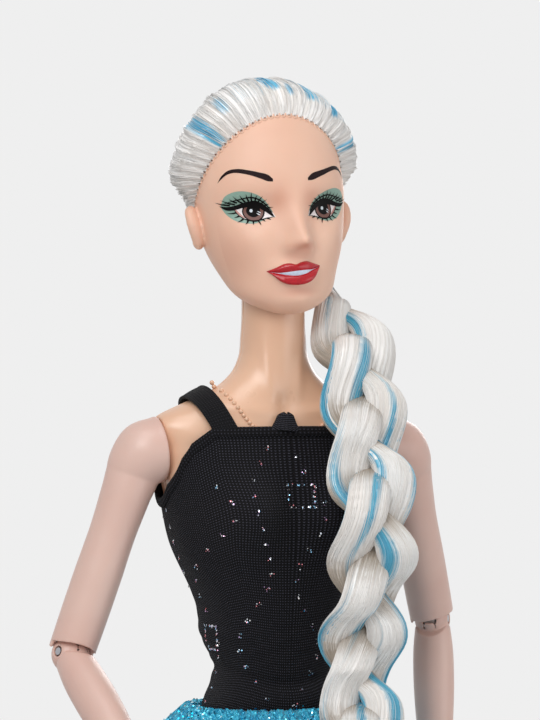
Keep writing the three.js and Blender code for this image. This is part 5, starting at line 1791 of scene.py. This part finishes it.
brow_bottom = [(12.6, 275.8), (12.0, 276.6), (11.2, 277.35), (10.2, 277.6), (8.9, 277.35),
               (7.5, 276.87), (6.0, 276.2), (4.7, 275.65), (3.95, 275.6)]
iris_spot, iris_reach = vec(7.1, 270.2), vec(1.9, 2.02)
lip_middle, lip_tilt = -0.85, 0.06
lip_top = [(-5.2, 259.1), (-3.6, 259.6), (-2.1, 260.15), (-0.95, 260.12), (-0.15, 259.85),
           (0.9, 260.14), (2.1, 260.25), (3.6, 259.75), (5.2, 259.15)]
lip_bottom = [(-5.2, 259.1), (-4.1, 258.15), (-3.2, 257.2), (-1.95, 256.42), (0, 256.05), (1.7, 256.2),
              (3.15, 256.9), (4.2, 258.05), (5.2, 259.15)]
teeth_top = [(-5.2, 259.1), (-4.2, 258.78), (-3.3, 258.58), (-1.7, 258.56), (0, 258.62), (1.7, 258.62),
             (3.3, 258.6), (4.3, 258.8), (5.2, 259.15)]
teeth_bottom = [(-5.2, 259.1), (-4.2, 258.74), (-3.3, 258.46), (-1.7, 257.98), (0, 257.74),
                (1.7, 257.96), (3.3, 258.5), (4.3, 258.76), (5.2, 259.15)]


def curve_at(points, places):
    """Points of a smooth outline at shares of its length."""
    rows = np.asarray(points, float)
    reach = reach_along(rows)
    return read(np.column_stack([reach / reach[-1], rows]), places)


def eye_place(spot, side):
    """Where a point of the eye's outline falls: the left eye is painted a little wider."""
    x = spot[..., 0]
    if side > 0:
        x = iris_spot[0] + (x - iris_spot[0]) * np.where(x > iris_spot[0], 1.06, 1.3)
    return face_middle + side * x, spot[..., 1]


def laid(obj, lift):
    """Lays a painted shape on the head, a little above the paint below it."""
    apply(obj, "SHRINKWRAP", target=bpy.data.objects["head_shell"], wrap_method="NEAREST_SURFACEPOINT",
          wrap_mode="ABOVE_SURFACE", offset=lift * MM)
    return obj


def painted(upper, lower, lift, side=1, across=72, along=14):
    """A shape between two outlines."""
    def place(u, v):
        high, low = curve_at(upper, u), curve_at(lower, u)
        return on_face(*eye_place(low + (high - low) * v[:, None], side), lift + 0.3)
    return laid(sheet_of("paint", across, along, place), lift)


def painted_line(course, widths, lift, side=1, across=60):
    """A brush line with a width read along it."""
    places = np.linspace(0, 1, across + 1)
    centre = curve_at(course, places)
    heading = unit(np.gradient(centre, axis=0))
    out = np.column_stack([-heading[:, 1], heading[:, 0]])
    half = read(widths, places) / 2
    return painted(centre + out * half, centre - out * half, lift, side, across, 4)


def painted_disc(middle, reach, lift, side=1):
    def place(u, v):
        angle, radius = 2 * np.pi * u, v
        rim = np.column_stack([reach[0] * np.cos(angle), reach[1] * np.sin(angle)])
        return on_face(*eye_place(middle + rim * radius[:, None], side), lift + 0.3)
    return laid(sheet_of("paint", 56, 10, place), lift)


def paint_layer(name, shapes, material):
    """One layer of paint, facing forwards."""
    layer = melted(name, shapes)
    edit(layer, face_outwards)
    smooth(layer)
    normals = np.array([v.normal for v in layer.data.vertices])
    if normals.mean(0)[1] > 0:
        edit(layer, flip)
    worn(layer, material, "head")


def paint(name, colour, roughness=0.42, gloss=0.0, shade=0.92, specular=0.5):
    """Printed paint with a faint dotted grain and soft unevenness."""
    material, surface = shader(name, roughness, colour, Coat_Weight=gloss, Coat_Roughness=0.08,
                               Specular_IOR_Level=specular)
    place = object_place(material)
    tone = tuple(shade * np.asarray(colour, float))
    mottled = ramp(material, noise(material, place, 2600, 3, 0.6), 0.35, 0.75)
    coloured(material, surface, mottled, colour, tone)
    bumped(material, surface, noise(material, place, 5000, 2), 0.006)
    return material


def lashes(course, shares, reach, lean, lift, side, back):
    """Tapered ticks that fan out across a line: reach and lean are given at its outer and inner end."""
    width, shapes = 0.3, []
    for k, share in enumerate(shares):
        root = curve_at(course, share)[0]
        away = unit(root - iris_spot + (lean[0] + (lean[1] - lean[0]) * share, 0))
        length = (reach[0] + (reach[1] - reach[0]) * share) * (0.9 + 0.2 * math.sin(k * 2.4))
        root = root - away * back * length
        tip = root + away * length
        middle = (root + tip) / 2 + vec(away[1], -away[0]) * 0.06 * length
        widths = [(0, width), (0.35, width * 0.9), (1, 0.02)]
        shapes.append(painted_line([root, middle, tip], widths, lift, side, 10))
    return shapes


def lip(name, high, low, swell, peak):
    """A full, glossy lip between two outlines, tilted with the smile."""
    def place(u, v):
        top, bottom = curve_at(high, u), curve_at(low, u)
        spot = bottom + (top - bottom) * v[:, None]
        end = np.clip(np.minimum(u, 1 - u) / 0.3, 0, 1) ** 0.7
        rise = swell * end * np.sin(np.pi * v**peak) ** 0.8
        return on_face(lip_middle + spot[:, 0], spot[:, 1] + lip_tilt * spot[:, 0], 0.07 + rise)
    return sheet_of(name, 110, 24, place)


# Lines of the eye on their own, with their widths
inner_corner = [(4.75, 270.75), (4.1, 269.9), (3.62, 268.95)]
corner_widths = [(0, 0.02), (0.6, 0.2), (1, 0.12)]
lower_rim = [(10.2, 270.75), (9.5, 269.75), (8.4, 268.85)]
rim_widths = [(0, 0.3), (0.5, 0.42), (1, 0.03)]
lower_widths = [(0, 0.08), (0.3, 0.17), (0.7, 0.17), (1, 0.07)]
arc_widths = [(0, 0.05), (0.3, 0.2), (0.7, 0.22), (1, 0.08)]
glint_widths = [(0, 0.03), (0.5, 0.17), (1, 0.03)]


def eyes():
    """The eyes in layers, each a little above the one below it."""
    shadows, whites, rims, irises, blacks, glints, brows = [], [], [], [], [], [], []
    for side in (-1, 1):
        shadows.append(painted(shadow_top, shadow_bottom, 0.02, side))
        whites.append(painted(lid_line[2:], lower_line, 0.035, side))
        whites.append(painted_line(inner_corner, corner_widths, 0.06, side, 12))
        rims.append(painted_line(lower_rim, rim_widths, 0.044, side, 16))
        blacks.append(painted_disc(iris_spot, iris_reach, 0.05, side))
        irises.append(painted_disc(iris_spot, iris_reach * 0.88, 0.062, side))
        blacks.append(painted_disc(iris_spot + (0, 0.12), iris_reach * 0.62, 0.074, side))
        middle = iris_spot + vec(side * -0.33, 0.14)
        glints.append(painted_disc(middle, vec(0.27, 0.33), 0.1, side))
        for k in (0, 1):
            spot = iris_spot + vec(side * (1.0 - 0.16 * k), -0.2 - 0.4 * k)
            turn = vec(side * 0.3, -0.22)
            glints.append(painted_line([spot - turn, spot, spot + turn], glint_widths, 0.1, side, 8))
        blacks.append(painted_line(lid_line, lid_widths, 0.115, side))
        blacks.append(painted_line(lower_line, lower_widths, 0.095, side))
        blacks.append(painted_line(lash_arc, arc_widths, 0.12, side))
        blacks.extend(lashes(lash_arc, np.linspace(0.03, 0.9, 12), (2.35, 1.25), (0.3, -0.3), 0.13, side, 0.5))
        blacks.extend(lashes(lower_line, np.linspace(0, 0.86, 9), (1.45, 0.7), (0.9, -0.6), 0.105, side, 0))
        brows.append(painted(brow_top, brow_bottom, 0.03, side))
    paint_layer("eyeshadow", shadows, paint("paint_eyeshadow", eyelid_colour, 0.45))
    paint_layer("eye_whites", whites, paint("paint_white", (244, 234, 234), 0.35))
    paint_layer("eye_rims", rims, paint("paint_rim", (196, 142, 132), 0.4))
    paint_layer("irises", irises, paint("paint_iris", iris_colour, 0.4, specular=0.3))
    paint_layer("eye_lines", blacks, paint("paint_black", (9, 6, 7), 0.6, specular=0.1))
    paint_layer("eye_glints", glints, paint("paint_glint", (226, 234, 242), 0.3))
    paint_layer("brows", brows, paint("paint_brow", (30, 14, 16), 0.6, specular=0.15))


def mouth():
    red = paint("paint_lips", (192, 3, 26), 0.2, gloss=0.4, shade=0.86, specular=0.3)
    tooth_white = paint("paint_teeth", (203, 216, 236), 0.25, gloss=0.3)
    paint_layer("upper_lip", [lip("upper_lip", lip_top, teeth_top, 0.5, 1.2)], red)
    paint_layer("lower_lip", [lip("lower_lip", teeth_bottom, lip_bottom, 1.05, 0.85)], red)
    paint_layer("teeth", [lip("teeth", teeth_top, teeth_bottom, 0.02, 1)], tooth_white)


eyes()
mouth()


# The carried-over fittings
def dressed(name, material):
    """A CAD fitting kept as it is, with its look in its object's own slot."""
    fitting = bpy.data.objects[name]
    if not fitting.material_slots:
        fitting.data.materials.append(material)
    for slot in fitting.material_slots:
        slot.material = material


dressed("neck_knob", pale_nylon)
dressed("hip_axle", pin_steel)
for side in ("left", "right"):
    for name, material in (("shoulder_peg", pale_nylon), ("elbow_tongue", pale_nylon),
                           ("elbow_pin", pin_steel), ("knee_tongue", pale_nylon), ("knee_pin", pin_steel)):
        dressed(f"{name}_{side}", material)
